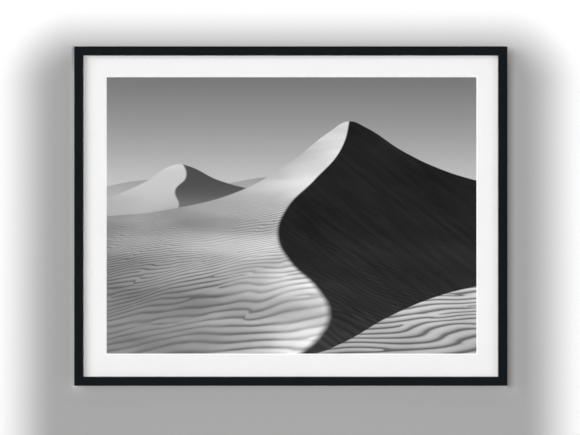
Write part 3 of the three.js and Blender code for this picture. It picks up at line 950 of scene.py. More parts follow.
hardboard, node = new_finish("brown hardboard")
place = node("ShaderNodeTexCoord").outputs["Object"]
fibres = 0.0
for degrees in FIBRE_DEGREES:
    lay = {"Rotation": (0, math.radians(degrees), 0), "Scale": (FIBRE_LENGTH, FIBRE_LENGTH, FIBRE_WIDTH)}
    laid = node("ShaderNodeMapping", {"Vector": place} | lay, vector_type="TEXTURE")
    layer = node("ShaderNodeTexNoise", {"Vector": laid, "Scale": 1.0, "Detail": 2.0})
    fibres = node("ShaderNodeMath", [layer, fibres], operation="MAXIMUM")
fleck_limits = {"Value": fibres, "From Min": 0.52, "From Max": 0.82, "To Max": 0.6}
flecks = node("ShaderNodeMapRange", fleck_limits, interpolation_type="SMOOTHSTEP")
cloud_look = {"Vector": place, "Scale": 1 / PRESSED_CLOUD, "Detail": 4.0, "Roughness": 0.6}
cloud = node("ShaderNodeTexNoise", cloud_look)
two_browns = {"Factor": cloud, "A": srgb("#7a5736"), "B": srgb("#96704a")}
tone = node("ShaderNodeMix", two_browns, data_type="RGBA")
tone = node("ShaderNodeMix", {"Factor": flecks, "A": tone, "B": srgb("#ab8459")}, data_type="RGBA")
specks = node("ShaderNodeTexNoise", {"Vector": place, "Scale": 1 / SPECK_SPACING, "Detail": 2.0})
dark = node("ShaderNodeMapRange", {"Value": specks, "From Min": 0.62, "From Max": 0.76, "To Max": 0.7})
tone = node("ShaderNodeMix", {"Factor": dark, "A": tone, "B": srgb("#4e3520")}, data_type="RGBA")
relief = node("ShaderNodeBump", {"Strength": 0.4, "Distance": FIBRE_RELIEF, "Height": fibres})
sheen = node("ShaderNodeMapRange", {"Value": cloud, "To Min": 0.5, "To Max": 0.68})
pressed = {"Base Color": tone, "Roughness": sheen, "Normal": relief}
node("ShaderNodeOutputMaterial", [node("ShaderNodeBsdfPrincipled", pressed)])
dress("backing_board", hardboard)
tell(hardboard)

# %% [markdown]
# The hardware is mild steel with a bright zinc plating. Barrel plated pieces tumble against each other,
# so their shine is soft and slightly cloudy rather than mirror-like, with small dull dents. One even
# roughness would look like chrome or like plastic, so it wanders over a few millimetres.

# %% Bright zinc plating
ZINC_CLOUD = 3.8 * MM
DENT_SPACING = 1.1 * MM
DENT_RELIEF = 0.02 * MM

zinc, node = new_finish("bright zinc plated steel")
place = node("ShaderNodeTexCoord").outputs["Object"]
cloud = node("ShaderNodeTexNoise", {"Vector": place, "Scale": 1 / ZINC_CLOUD, "Detail": 3.0})
two_zincs = {"Factor": cloud, "A": srgb("#b4b8bd"), "B": srgb("#d2d5d8")}
tone = node("ShaderNodeMix", two_zincs, data_type="RGBA")
dullness = node("ShaderNodeMapRange", {"Value": cloud, "To Min": 0.2, "To Max": 0.42})
dents = node("ShaderNodeTexNoise", {"Vector": place, "Scale": 1 / DENT_SPACING, "Detail": 1.0})
relief = node("ShaderNodeBump", {"Strength": 0.25, "Distance": DENT_RELIEF, "Height": dents})
plated = {"Base Color": tone, "Metallic": 1.0, "Roughness": dullness, "Normal": relief}
node("ShaderNodeOutputMaterial", [node("ShaderNodeBsdfPrincipled", plated)])
tell(zinc)

# %% [markdown]
# A turn button is a drop of sheet steel stamped round two circles: a large one at the screw and a small
# one at the tip. Two discs and a bar could be joined, but their seams would show. The tree starts from
# one circle of directions instead. Those that look away from the tip go out from the large circle's
# middle, the others from the small one's, and the straight flanks come by themselves between the last
# direction of one and the first of the other.

# %% The turn button's outline
POINTS_ROUND_BUTTON = 96
POINTS_TO_BUTTON_EDGE = 14
SAME_POINT = 0.01 * MM

button_inputs = {"Float": "Radius, Tip radius, Arm, Thickness, Hole radius, Quarter turns"}
button_inputs |= {"Vector": "Pivot", "Material": "Finish"}
button_tree, node, given = new_tree("stamped turn button", button_inputs)
circle = node("GeometryNodeCurvePrimitiveCircle", {"Resolution": POINTS_ROUND_BUTTON, "Radius": 1.0})
direction = node("GeometryNodeInputPosition")
_, along, _ = node("ShaderNodeSeparateXYZ", [direction]).outputs
narrowing = node("ShaderNodeMath", [given["Tip radius"], given["Radius"]], operation="SUBTRACT")
switch_at = node("ShaderNodeMath", [narrowing, given["Arm"]], operation="DIVIDE")
at_tip = node("ShaderNodeMath", [along, switch_at], operation="LESS_THAN")
two_radii = {"Factor": at_tip, "A": given["Radius"], "B": given["Tip radius"]}
radius = node("ShaderNodeMix", two_radii, data_type="FLOAT")
around = node("ShaderNodeVectorMath", {0: direction, "Scale": radius}, operation="SCALE")
drop = node("ShaderNodeMath", [at_tip, given["Arm"]], operation="MULTIPLY")
drop = node("ShaderNodeCombineXYZ", {"Y": drop})
on_edge = node("ShaderNodeVectorMath", [around, drop], operation="SUBTRACT")
outline = node("GeometryNodeSetPosition", {"Geometry": circle, "Position": on_edge})
tell(button_tree)

# %% [markdown]
# The sheet needs a clean round screw hole, and drilling one would leave ragged faces. So the sheet is a
# grid bent round: its columns run from the hole to the outline, and its first and last rows are joined.

# %% The button's flat sheet
rows_and_columns = {"Vertices X": POINTS_TO_BUTTON_EDGE, "Vertices Y": POINTS_ROUND_BUTTON + 1}
grid = node("GeometryNodeMeshGrid", {"Size X": 1.0, "Size Y": 1.0} | rows_and_columns)
# The grid is one metre wide, so its places plus a half run from 0 to 1
shares = node("ShaderNodeVectorMath", [node("GeometryNodeInputPosition"), (0.5, 0.5, 0.0)], operation="ADD")
outward, way_round, _ = node("ShaderNodeSeparateXYZ", [shares]).outputs
sampled = node("GeometryNodeSampleCurve", {"Curves": outline, "Factor": way_round}, mode="FACTOR")
edge_spot = sampled.outputs["Position"]
towards_edge = node("ShaderNodeVectorMath", [edge_spot], operation="NORMALIZE")
hole_edge = {0: towards_edge, "Scale": given["Hole radius"]}
hole_spot = node("ShaderNodeVectorMath", hole_edge, operation="SCALE")
spot = node("ShaderNodeMix", {"Factor": outward, "A": hole_spot, "B": edge_spot}, data_type="VECTOR")
sheet = node("GeometryNodeSetPosition", {"Geometry": grid, "Position": spot})
sheet = node("GeometryNodeMergeByDistance", {"Geometry": sheet, "Distance": SAME_POINT})
tell(button_tree)

# %% [markdown]
# The tip is lifted a little so that a fingernail gets under it, and a pressed rib down the middle keeps
# the button stiff. Both are smooth steps in height: across the rib, at each of its ends, and towards the
# tip. The steps of the rib are multiplied, so it only stands where all three agree.

# %% Rib and lifted tip of the turn button
RIB_HALF_WIDTH = 1.5 * MM
RIB_RISE = 0.32 * MM
RIB_STARTS_AT = 3.4 * MM
RIB_RUNS_OUT_OVER = 2 * MM
TIP_LIFT = 0.35 * MM
TIP_LIFTS_FROM = 7.5 * MM

across, along, _ = node("ShaderNodeSeparateXYZ", [node("GeometryNodeInputPosition")]).outputs
aside = node("ShaderNodeMath", [across], operation="ABSOLUTE")
down = node("ShaderNodeMath", [along, -1.0], operation="MULTIPLY")
rib_end = node("ShaderNodeMath", [given["Arm"], RIB_RUNS_OUT_OVER], operation="ADD")
tip = node("ShaderNodeMath", [given["Arm"], given["Tip radius"]], operation="ADD")
# Each row: measure, where the step starts and ends, and how high it climbs
STEPS = [
    (aside, RIB_HALF_WIDTH, 0.0, RIB_RISE),
    (down, RIB_STARTS_AT, RIB_STARTS_AT + RIB_RUNS_OUT_OVER, 1.0),
    (down, rib_end, given["Arm"], 1.0),
    (down, TIP_LIFTS_FROM, tip, TIP_LIFT),
]
across_rib, rib_begins, rib_ends, lift = [
    node("ShaderNodeMapRange", [measure, start, end, 0.0, height], interpolation_type="SMOOTHSTEP")
    for measure, start, end, height in STEPS
]
rib = node("ShaderNodeMath", [across_rib, rib_begins], operation="MULTIPLY")
raised = node("ShaderNodeMath", [rib, rib_ends, lift], operation="MULTIPLY_ADD")
offset = node("ShaderNodeCombineXYZ", {"Z": raised})
pressed = node("GeometryNodeSetPosition", {"Geometry": sheet, "Offset": offset})
tell(button_tree)

# %% [markdown]
# So far the button is a sheet without thickness. Solidify would thicken it square to the bent surface,
# while a stamping is pushed through along one line, and Extrude Mesh with one offset does that.

# %% Thickness and place of the turn button
thickness = node("ShaderNodeCombineXYZ", {"Z": given["Thickness"]})
extrusion = {"Mesh": pressed, "Offset": thickness, "Offset Scale": 1.0, "Individual": False}
top = node("GeometryNodeExtrudeMesh", extrusion, mode="FACES")
underside = node("GeometryNodeFlipFaces", [pressed])
both = node("GeometryNodeJoinGeometry", [[top, underside]])
closed = node("GeometryNodeMergeByDistance", {"Geometry": both, "Distance": SAME_POINT})
# The flat button faces up along Z. It stands up against the wall side, then turns round its pivot.
stood = node("GeometryNodeTransform", {"Geometry": closed, "Rotation": (-math.pi / 2, 0, 0)})
flipped = node("GeometryNodeTransform", {"Geometry": stood, "Rotation": (0, math.pi, 0)})
quarter = node("ShaderNodeMath", [given["Quarter turns"], math.pi / 2], operation="MULTIPLY")
turn = node("ShaderNodeCombineXYZ", {"Y": quarter})
to_pivot = {"Rotation": turn, "Translation": given["Pivot"]}
placed = node("GeometryNodeTransform", {"Geometry": flipped} | to_pivot)
deliver(node, node("GeometryNodeSetShadeSmooth", [placed]), given)
tell(button_tree)

# %% [markdown]
# Every button can turn on its own, so each is a piece of its own on its own body. Instances would all be
# one piece. The tree runs once for each, with the middle of its packed screw's head as the pivot.

# %% Ten turn buttons
BUTTONS_ON_SIDES = {"top": 3, "right": 2, "bottom": 3, "left": 2}
BUTTON_RADIUS = 4.5 * MM
BUTTON_TIP_RADIUS = 3 * MM
BUTTON_ARM = 10.5 * MM
SCREW_HOLE_RADIUS = 1.75 * MM
STAMPED_EDGE = {"limit_method": "ANGLE", "angle_limit": math.radians(50), "width": 0.18 * MM, "segments": 2}

for turns, (side_name, count) in enumerate(BUTTONS_ON_SIDES.items()):
    for number in range(1, count + 1):
        label = f"{side_name}_{number}"
        low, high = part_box(f"turn_button_{label}")
        head_low, head_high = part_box(f"turn_button_screw_{label}")
        pivot = (head_low + head_high) / 2
        button_sizes = {
            "Radius": BUTTON_RADIUS,
            "Tip radius": BUTTON_TIP_RADIUS,
            "Arm": BUTTON_ARM,
            "Thickness": high.y - low.y,
            "Hole radius": SCREW_HOLE_RADIUS,
            "Quarter turns": float(turns),
            "Pivot": (pivot.x, low.y, pivot.z),
            "Finish": zinc,
        }
        button = grow(f"button_{label}", button_tree, button_sizes, rounding=STAMPED_EDGE)
        fit(button, f"button_{label}", "zinc_steel", f"turn_button_{label}")
print("faces of a turn button:", len(button.data.polygons))

# %% [markdown]
# The screws are pan head wood screws, all of one size. A turned shape could be a profile spun by the
# Screw modifier, but a thread would have to be added to it. It is also a stack of rings, and a cylinder
# with many side segments is just that: two curves give each ring its height and its radius.

# %% Turned solids
def turned_solid(node, rings, sides):
    """The stack of rings for a turned solid, and each point's height and radius as fields."""
    last, top_height, _ = rings[-1]
    lowest = rings[0][1]
    widest = max(radius for _, _, radius in rings)
    stack = node(
        "GeometryNodeMeshCylinder",
        {"Vertices": sides, "Side Segments": last, "Radius": 1.0, "Depth": 1.0},
        fill_type="NGON",
    )
    position = node("ShaderNodeSeparateXYZ", [node("GeometryNodeInputPosition")])
    share = node("ShaderNodeMath", [position.outputs["Z"], 0.5], operation="ADD")
    fields = []
    for column, start, size in ((1, lowest, top_height - lowest), (2, 0.0, widest)):
        steps = [(ring[0] / last, (ring[column] - start) / size) for ring in rings]
        stepped = node("ShaderNodeFloatCurve", {"Value": share}, curve=steps, handles="VECTOR")
        fields.append(node("ShaderNodeMath", [stepped, size * MM, start * MM], operation="MULTIPLY_ADD"))
    return stack, *fields


def set_rings(node, stack, height, radius):
    """Moves every point of the stack to its height and radius."""
    flat = node("ShaderNodeVectorMath", [node("GeometryNodeInputPosition"), (1, 1, 0)], operation="MULTIPLY")
    on_ring = node("ShaderNodeVectorMath", {0: flat, "Scale": radius}, operation="SCALE")
    up = node("ShaderNodeCombineXYZ", {"Z": height})
    lifted = node("ShaderNodeVectorMath", [on_ring, up], operation="ADD")
    return node("GeometryNodeSetPosition", {"Geometry": stack, "Position": lifted})


# %% [markdown]
# The table gives the screw's outline from its point to the top of its head. The thread is a wave in the
# radius. Its crest climbs by one pitch for each turn, so height over pitch minus the share of a turn is
# a whole number at the root of the thread, and a ping-pong of that number makes the zigzag of its crests.

# %% The screw's body and thread
# Each row: ring, height over the rail side of the head and radius, in mm
SCREW_RINGS = [
    (0, -11.1, 0.05), (8, -8.7, 1.15), (52, -0.8, 1.15), (53, -0.5, 1.45), (54, 0.0, 1.5),
    (55, 0.0, 2.75), (56, 0.75, 2.75), (57, 1.02, 2.66), (58, 1.3, 2.42), (59, 1.55, 2.0),
    (60, 1.72, 1.4), (61, 1.79, 0.8), (62, 1.8, 0.3),
]
SCREW_SIDES = 24
THREAD_PITCH = 1.1 * MM
THREAD_HEIGHT = 0.33 * MM
# The thread grows from the point and runs out under the head, each between two heights
THREAD_FADES = [(-10.9 * MM, -9.2 * MM), (-0.8 * MM, -1.6 * MM)]

screw_tree, node, given = new_tree("pan head screws on points", {"Int": "Seed", "Material": "Finish"})
stack, height, radius = turned_solid(node, SCREW_RINGS, SCREW_SIDES)
across, along, _ = node("ShaderNodeSeparateXYZ", [node("GeometryNodeInputPosition")]).outputs
angle = node("ShaderNodeMath", [along, across], operation="ARCTAN2")
round_share = node("ShaderNodeMath", [angle, 2 * math.pi], operation="DIVIDE")
climb = node("ShaderNodeMath", [height, THREAD_PITCH], operation="DIVIDE")
turn_count = node("ShaderNodeMath", [climb, round_share], operation="SUBTRACT")
crest = node("ShaderNodeMath", [turn_count, 0.5], operation="PINGPONG")
thread = node("ShaderNodeMath", [crest, 2 * THREAD_HEIGHT], operation="MULTIPLY")
for low, high in THREAD_FADES:
    fade = node("ShaderNodeMapRange", {"Value": height, "From Min": low, "From Max": high})
    thread = node("ShaderNodeMath", [thread, fade], operation="MULTIPLY")
radius = node("ShaderNodeMath", [radius, thread], operation="ADD")
turned = set_rings(node, stack, height, radius)
tell(screw_tree)

# %% [markdown]
# A driver fits into a cross recess that narrows towards the point. Its faces could be built into the
# head, but a Boolean with two crossed wedges is simpler, and so few faces cut cleanly. Edges that turn
# sharply are kept crisp, and the rest is shaded smooth.

# %% Cross recess
RECESS_SPAN = 3.5 * MM
RECESS_WIDTH = 0.85 * MM
RECESS_TOP = 2.2 * MM
RECESS_DEPTH = 1.3 * MM
RECESS_TAPER = 0.45
CREASE_DEGREES = 38

block = node("GeometryNodeMeshCube", {"Size": (RECESS_SPAN, RECESS_WIDTH, RECESS_DEPTH)})
position = node("GeometryNodeInputPosition")
level = node("ShaderNodeSeparateXYZ", [position]).outputs["Z"]
wedge_run = {"Value": level, "From Min": -RECESS_DEPTH / 2, "From Max": RECESS_DEPTH / 2}
narrow = node("ShaderNodeMapRange", wedge_run | {"To Min": RECESS_TAPER})
taper = node("ShaderNodeCombineXYZ", [narrow, narrow, 1.0])
tapered = node("ShaderNodeVectorMath", [position, taper], operation="MULTIPLY")
wedge = node("GeometryNodeSetPosition", {"Geometry": block, "Position": tapered})
sunk = (0, 0, RECESS_TOP - RECESS_DEPTH / 2)
cutters = [
    node("GeometryNodeTransform", {"Geometry": wedge, "Translation": sunk, "Rotation": (0, 0, turn)})
    for turn in (0, math.pi / 2)
]
recessed = node("GeometryNodeMeshBoolean", [turned, cutters], operation="DIFFERENCE", solver="EXACT")
# Without this the cut leaves open seams
recessed.inputs["Self Intersection"].default_value = True
smooth = node("GeometryNodeSetShadeSmooth", [recessed])
bend = node("GeometryNodeInputMeshEdgeAngle")
steep = node("FunctionNodeCompare", {"A": bend, "B": math.radians(CREASE_DEGREES)}, operation="GREATER_THAN")
crisp = {"Geometry": smooth, "Selection": steep, "Shade Smooth": False}
screw = node("GeometryNodeSetShadeSmooth", crisp, domain="EDGE")
tell(screw_tree)

# %% [markdown]
# One screw is made and then set on twelve points. No fitter leaves all recesses at the same angle, so
# each screw is turned by its own random angle, with a fixed seed.

# %% Twelve screws
def points_mesh(name, spots):
    """A mesh that is only points, for a tree to set copies on."""
    mesh = bpy.data.meshes.new(name)
    mesh.from_pydata(spots, [], [])
    return mesh


spin_range = {"Min": 0.0, "Max": 2 * math.pi, "Seed": given["Seed"]}
spin = node("FunctionNodeRandomValue", spin_range, data_type="FLOAT")
stance = node("ShaderNodeCombineXYZ", [-math.pi / 2, spin])
copies = {"Points": given["Geometry"], "Instance": screw, "Rotation": stance}
deliver(node, node("GeometryNodeInstanceOnPoints", copies), given)

head_height = SCREW_RINGS[-1][1] * MM
screw_nodes = sorted(name for name in nodes if "screw" in name)
seats = []
for name in screw_nodes:
    low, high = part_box(name)
    seats.append(((low.x + high.x) / 2, high.y - head_height, (low.z + high.z) / 2))
screws = grow("pan_head_screws", screw_tree, {"Seed": 4, "Finish": zinc}, start=points_mesh("seats", seats))
fit(screws, "frame", "zinc_steel", *screw_nodes)
print("screws:", len(seats), "faces:", len(screws.data.polygons))

# %% [markdown]
# The ring of a hanger is hard wire bent into the shape of a letter D: a straight bar with tight bends at
# its ends and a half circle over it. The line could be drawn point by point, but it follows a rule, as
# the button's outline did. Directions that look up belong to the half circle, the others to the bend of
# the nearer end of the bar, and the straight stretches close the gaps between them. A round profile swept
# along that line makes the wire.

# %% The ring's tree
POINTS_ROUND_RING = 72
POINTS_ROUND_WIRE = 20

ring_inputs = {"Float": "Half width, Height, Bend, Wire", "Vector": "Place", "Material": "Finish"}
ring_tree, node, given = new_tree("wire ring", ring_inputs)
circle = node("GeometryNodeCurvePrimitiveCircle", {"Resolution": POINTS_ROUND_RING, "Radius": 1.0})
direction = node("GeometryNodeInputPosition")
across, up, _ = node("ShaderNodeSeparateXYZ", [direction]).outputs
looks_up = node("ShaderNodeMath", [up, 0.0], operation="GREATER_THAN")
two_radii = {"Factor": looks_up, "A": given["Bend"], "B": given["Half width"]}
radius = node("ShaderNodeMix", two_radii, data_type="FLOAT")
over_bar = node("ShaderNodeMath", [given["Height"], given["Half width"]], operation="SUBTRACT")
two_heights = {"Factor": looks_up, "A": given["Bend"], "B": over_bar}
height = node("ShaderNodeMix", two_heights, data_type="FLOAT")
inset = node("ShaderNodeMath", [given["Half width"], radius], operation="SUBTRACT")
side = node("ShaderNodeMath", [across], operation="SIGN")
aside = node("ShaderNodeMath", [side, inset], operation="MULTIPLY")
bend_middle = node("ShaderNodeCombineXYZ", [aside, height])
around = node("ShaderNodeVectorMath", {0: direction, "Scale": radius}, operation="SCALE")
on_line = node("ShaderNodeVectorMath", [bend_middle, around], operation="ADD")
line = node("GeometryNodeSetPosition", {"Geometry": circle, "Position": on_line})
round_wire = {"Resolution": POINTS_ROUND_WIRE, "Radius": given["Wire"]}
section = node("GeometryNodeCurvePrimitiveCircle", round_wire)
swept = node("GeometryNodeCurveToMesh", {"Curve": line, "Profile Curve": section})
stance = {"Rotation": (math.pi / 2, 0, 0), "Translation": given["Place"]}
stood = node("GeometryNodeTransform", {"Geometry": swept} | stance)
deliver(node, node("GeometryNodeSetShadeSmooth", [stood]), given)
tell(ring_tree)

# %% [markdown]
# Each ring swings in its strap, so it rides on a body of its own. Its sizes are read off its packed
# solid, and only the wire and the tight bends have sizes of their own.

# %% Two rings
RING_WIRE_RADIUS = 0.9 * MM
RING_BEND_RADIUS = 1.0 * MM

for side_name in ("left", "right"):
    low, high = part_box(f"hanger_ring_{side_name}")
    ring_sizes = {
        "Half width": (high.x - low.x) / 2 - RING_WIRE_RADIUS,
        "Height": high.z - low.z - 2 * RING_WIRE_RADIUS,
        "Bend": RING_BEND_RADIUS,
        "Wire": RING_WIRE_RADIUS,
        "Place": ((low.x + high.x) / 2, (low.y + high.y) / 2, low.z + RING_WIRE_RADIUS),
        "Finish": zinc,
    }
    ring = grow(f"wire_ring_{side_name}", ring_tree, ring_sizes)
    fit(ring, f"ring_{side_name}", "zinc_steel", f"hanger_ring_{side_name}")
print("faces of a ring:", len(ring.data.polygons))

# %% [markdown]
# The strap that holds a ring is a strip of sheet steel with a round lower end. It lies flat on the rail
# and then rolls round the ring's bar. Bending a flat mesh with a modifier would stretch its end, so mesh
# code sets rows of points where the middle of the sheet goes: round the end, straight up, then along the
# roll.

# %% The strap's middle sheet
STRAP_THICKNESS = 0.8 * MM
BARREL_RADIUS = 1.8 * MM
BARREL_WRAP_DEGREES = 290
END_ROWS = 11
ROLL_ROWS = 30
STRAP_COLUMNS = 12


def strap_rows(half, axis, lowest):
    """Half the width, the depth and the height of each row of points, from the end of the strap up."""
    roll_radius = BARREL_RADIUS - STRAP_THICKNESS / 2
    back = axis.y - roll_radius
    rows = []
    for step in range(END_ROWS + 1):
        angle = math.pi / 2 * step / END_ROWS
        rows.append((half * math.sin(angle), back, lowest + half * (1 - math.cos(angle))))
    for step in range(1, END_ROWS):
        rows.append((half, back, lowest + half + (axis.z - lowest - half) * step / END_ROWS))
    for step in range(ROLL_ROWS + 1):
        angle = math.pi - math.radians(BARREL_WRAP_DEGREES) * step / ROLL_ROWS
        rows.append((half, axis.y + roll_radius * math.cos(angle), axis.z + roll_radius * math.sin(angle)))
    return rows


def strap_sheet(name, rows, middle_x):
    """A strip of sheet metal whose rows of points lie as given."""
    sheet = bmesh.new()
    shares = [2 * column / STRAP_COLUMNS - 1 for column in range(STRAP_COLUMNS + 1)]
    grid = [[sheet.verts.new((middle_x + half * share, y, z)) for share in shares] for half, y, z in rows]
    for below, above in zip(grid, grid[1:]):
        for column in range(STRAP_COLUMNS):
            sheet.faces.new((below[column], below[column + 1], above[column + 1], above[column]))
    bmesh.ops.remove_doubles(sheet, verts=sheet.verts, dist=SAME_POINT)
    # The strip ends in one point. Edges that fan out from it would leave slivers where the bevel meets them.
    tip = min(sheet.verts, key=lambda point: point.co.z)
    bmesh.ops.dissolve_edges(sheet, edges=[edge for edge in tip.link_edges if not edge.is_boundary])
    mesh = bpy.data.meshes.new(name)
    sheet.to_mesh(mesh)
    sheet.free()
    print(name, "faces of the middle sheet:", len(mesh.polygons))
    mesh.materials.append(zinc)
    piece = bpy.data.objects.new(name, mesh)
    bpy.context.scene.collection.objects.link(piece)
    return piece


# %% [markdown]
# Modifiers finish the straps as a workshop would. Solidify gives the sheet its thickness, a Boolean
# drills the hole for the screw, and Bevel breaks the stamped edges.

# %% Two straps
DRILL_LENGTH = 1.6 * MM
DRILL_SIDES = 32
STRAP_EDGE = STAMPED_EDGE | {"width": 0.14 * MM}


def drill_at(spot):
    """A round drill through the strap at a spot, along Y."""
    drill = bmesh.new()
    place = Matrix.Translation(spot) @ Matrix.Rotation(math.pi / 2, 4, "X")
    size = {"radius1": SCREW_HOLE_RADIUS, "radius2": SCREW_HOLE_RADIUS, "depth": DRILL_LENGTH}
    bmesh.ops.create_cone(drill, cap_ends=True, segments=DRILL_SIDES, matrix=place, **size)
    mesh = bpy.data.meshes.new("drill")
    drill.to_mesh(mesh)
    drill.free()
    piece = bpy.data.objects.new("drill", mesh)
    bpy.context.scene.collection.objects.link(piece)
    return piece


for side_name in ("left", "right"):
    low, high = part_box(f"hanger_strap_{side_name}")
    screw_low, screw_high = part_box(f"hanger_screw_{side_name}")
    axis = Vector(((low.x + high.x) / 2, high.y - BARREL_RADIUS, high.z - BARREL_RADIUS))
    strap = strap_sheet(f"strap_{side_name}", strap_rows((high.x - low.x) / 2, axis, low.z), axis.x)
    thick = strap.modifiers.new("thickness", "SOLIDIFY")
    thick.thickness = STRAP_THICKNESS
    thick.offset = 0
    drill = drill_at((axis.x, back_y + STRAP_THICKNESS / 2, (screw_low.z + screw_high.z) / 2))
    hole = strap.modifiers.new("screw hole", "BOOLEAN")
    hole.operation = "DIFFERENCE"
    hole.object = drill
    edges = strap.modifiers.new("broken edges", "BEVEL")
    for setting, value in STRAP_EDGE.items():
        setattr(edges, setting, value)
    mesh = plain_copy(strap)
    strap.modifiers.clear()
    strap.data = mesh
    mesh.shade_smooth()
    bpy.data.objects.remove(drill)
    fit(strap, "frame", "zinc_steel", f"hanger_strap_{side_name}")
print("faces of a strap:", len(strap.data.polygons))

# %% [markdown]
# A mitred corner is glued and then pinned from behind with a V-nail, a short bent strip of hard steel
# pressed in flush across the joint. What shows of it is a thin curved line of metal, so it has to be real
# metal and not a drawn line. A strip is swept along a curve and sunk until it stands a hair proud.

# %% V-nails across the mitres
NAIL_HALF_SPAN = 3.3 * MM
NAIL_ARCH = 1.5 * MM
NAIL_THICKNESS = 0.45 * MM
NAIL_DEPTH = 3 * MM
NAIL_PROUD = 0.06 * MM
NAIL_STEPS = 12

nail_inputs = {"Float": "Half span, Arch, Thickness, Depth, Proud", "Material": "Finish"}
nail_tree, node, given = new_tree("V-nails on points", nail_inputs)
left_end = node("ShaderNodeMath", [given["Half span"], -1.0], operation="MULTIPLY")
arch = node("ShaderNodeMath", [given["Arch"], 2.0], operation="MULTIPLY")
ends = [node("ShaderNodeCombineXYZ", [end]) for end in (left_end, given["Half span"])]
bow = {"Start": ends[0], "Middle": node("ShaderNodeCombineXYZ", {"Y": arch}), "End": ends[1]}
line = node("GeometryNodeCurveQuadraticBezier", {"Resolution": NAIL_STEPS} | bow)
strip_size = {"Width": given["Thickness"], "Height": given["Depth"]}
section = node("GeometryNodeCurvePrimitiveQuadrilateral", strip_size)
strip = node("GeometryNodeCurveToMesh", {"Curve": line, "Profile Curve": section, "Fill Caps": True})
sunk = node("ShaderNodeMath", [given["Depth"], -0.5, given["Proud"]], operation="MULTIPLY_ADD")
sunk = node("ShaderNodeCombineXYZ", {"Z": sunk})
seated = node("GeometryNodeTransform", {"Geometry": strip, "Translation": sunk})
turn = node("GeometryNodeInputNamedAttribute", {"Name": "turn"}, data_type="FLOAT")
stance = node("ShaderNodeCombineXYZ", [-math.pi / 2, turn])
copies = {"Points": given["Geometry"], "Instance": seated, "Rotation": stance}
deliver(node, node("GeometryNodeInstanceOnPoints", copies), given)
tell(nail_tree)

# %% [markdown]
# A mesh of four points carries the copies to the corners, and an attribute on each point turns its copy
# so that the arch looks outwards.

# %% Four V-nails
corners = [(rightward, upward) for rightward in (-1, 1) for upward in (-1, 1)]
aside, above = (outer_width - land_width) / 2, (outer_height - land_width) / 2
corner_spots = [(rightward * aside, back_y, centre_z + upward * above) for rightward, upward in corners]
corner_points = points_mesh("corners", corner_spots)
turns = corner_points.attributes.new("turn", "FLOAT", "POINT")
for number, (rightward, upward) in enumerate(corners):
    turns.data[number].value = math.atan2(-rightward, -upward)
nail_sizes = {
    "Half span": NAIL_HALF_SPAN,
    "Arch": NAIL_ARCH,
    "Thickness": NAIL_THICKNESS,
    "Depth": NAIL_DEPTH,
    "Proud": NAIL_PROUD,
    "Finish": zinc,
}
nails = grow("corner_nails", nail_tree, nail_sizes, start=corner_points)
fit(nails, "frame", "zinc_steel")
print("V-nails:", len(corners), "faces:", len(nails.data.polygons))

# %% [markdown]
# Two felt bumpers keep the lower edge off the wall. Felt is matted wool: dark grey with lighter hairs,
# without gloss, and fuzzy at its edges. A noise texture that is bent by another one curls like matted
# hair, and sheen gives the soft light rim of wool.

# %% Grey felt
# Wool hairs are 0.03 mm thick. They are drawn coarser, to show.
WOOL_HAIR = 0.12 * MM
WOOL_TUFT = 6 * WOOL_HAIR

felt, node = new_finish("grey wool felt")
place = node("ShaderNodeTexCoord").outputs["Object"]
wool_look = {"Vector": place, "Scale": 1 / WOOL_TUFT, "Detail": 6.0, "Roughness": 0.7, "Distortion": 1.5}
wool = node("ShaderNodeTexNoise", wool_look)
two_wools = {"Factor": wool, "A": srgb("#232425"), "B": srgb("#5b5c5e")}
tone = node("ShaderNodeMix", two_wools, data_type="RGBA")
relief = node("ShaderNodeBump", {"Strength": 0.7, "Distance": WOOL_HAIR, "Height": wool})
felt_look = {"Base Color": tone, "Roughness": 0.95, "Normal": relief}
felt_look |= {"Sheen Weight": 0.5, "Specular IOR Level": 0.1}
node("ShaderNodeOutputMaterial", [node("ShaderNodeBsdfPrincipled", felt_look)])
tell(felt)

# %% [markdown]
# The body of a bumper is a turned solid with a soft rim, and a Distribute Points node plants short hairs
# on its side, which lean every way. The face that touches the wall stays bare, because it is pressed flat.

# %% Wall bumpers
# Each row: ring, height over the rail and radius, in mm
BUMPER_RINGS = [(0, 0.0, 4.5), (5, 2.7, 4.5), (6, 3.2, 4.43), (7, 3.6, 4.2), (8, 3.87, 3.85), (9, 4.0, 3.4)]
BUMPER_SIDES = 40
HAIR_LENGTH = 0.5 * MM
HAIR_RADIUS = 0.022 * MM
# In radians, to each side
HAIR_LEAN = 1.1
HAIRS_PER_SQUARE_METRE = 9.0e6
# A face belongs to the side where its normal's upward part is less than this
SIDE_STEEPNESS = 0.6

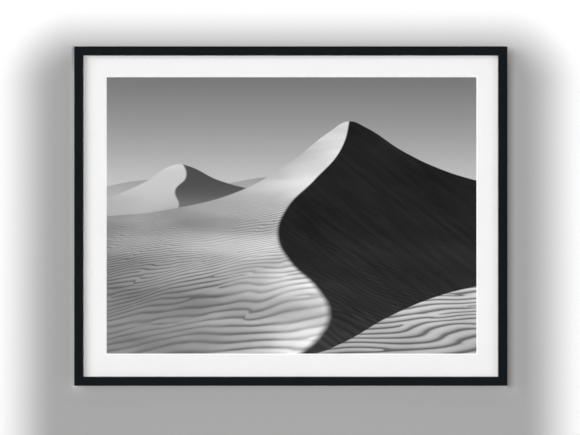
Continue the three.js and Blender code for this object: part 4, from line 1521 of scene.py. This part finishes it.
bumper_inputs = {"Float": "Hair length, Hair density", "Int": "Seed", "Material": "Finish"}
bumper_tree, node, given = new_tree("felt bumpers on points", bumper_inputs)
stack, height, radius = turned_solid(node, BUMPER_RINGS, BUMPER_SIDES)
pad = set_rings(node, stack, height, radius)
facing = node("ShaderNodeSeparateXYZ", [node("GeometryNodeInputNormal")]).outputs["Z"]
flatness = node("ShaderNodeMath", [facing], operation="ABSOLUTE")
on_side = node("FunctionNodeCompare", {"A": flatness, "B": SIDE_STEEPNESS}, operation="LESS_THAN")
bed = {"Mesh": pad, "Selection": on_side, "Density": given["Hair density"], "Seed": given["Seed"]}
planted = node("GeometryNodeDistributePointsOnFaces", bed)
hair_sizes = {"Vertices": 3, "Radius Top": HAIR_RADIUS / 2, "Radius Bottom": HAIR_RADIUS}
hair = node("GeometryNodeMeshCone", hair_sizes | {"Depth": given["Hair length"]}, fill_type="TRIANGLE_FAN")
lean_range = {"Min": (-HAIR_LEAN, -HAIR_LEAN, 0.0), "Max": (HAIR_LEAN, HAIR_LEAN, math.pi)}
lean = node("FunctionNodeRandomValue", lean_range | {"Seed": given["Seed"]}, data_type="FLOAT_VECTOR")
leaned = node("FunctionNodeRotateRotation", [planted.outputs["Rotation"], lean], rotation_space="LOCAL")
fuzz = node("GeometryNodeInstanceOnPoints", {"Points": planted, "Instance": hair, "Rotation": leaned})
smooth_pad = node("GeometryNodeSetShadeSmooth", [pad])
felted = node("GeometryNodeJoinGeometry", [[smooth_pad, fuzz]])
copies = {"Points": given["Geometry"], "Instance": felted, "Rotation": (-math.pi / 2, 0, 0)}
deliver(node, node("GeometryNodeInstanceOnPoints", copies), given)
tell(bumper_tree)

# %% [markdown]
# Like the screws, the bumpers ride on the frame together, so one mesh holds both.

# %% Two bumpers
bumper_nodes = ["wall_bumper_left", "wall_bumper_right"]
feet = []
for name in bumper_nodes:
    low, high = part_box(name)
    feet.append(((low.x + high.x) / 2, back_y, (low.z + high.z) / 2))
hairs = {"Hair length": HAIR_LENGTH, "Hair density": HAIRS_PER_SQUARE_METRE, "Seed": 2, "Finish": felt}
bumpers = grow("felt_bumpers", bumper_tree, hairs, start=points_mesh("feet", feet))
fit(bumpers, "frame", "grey_felt", *bumper_nodes)
print("faces of the bumpers:", len(bumpers.data.polygons))
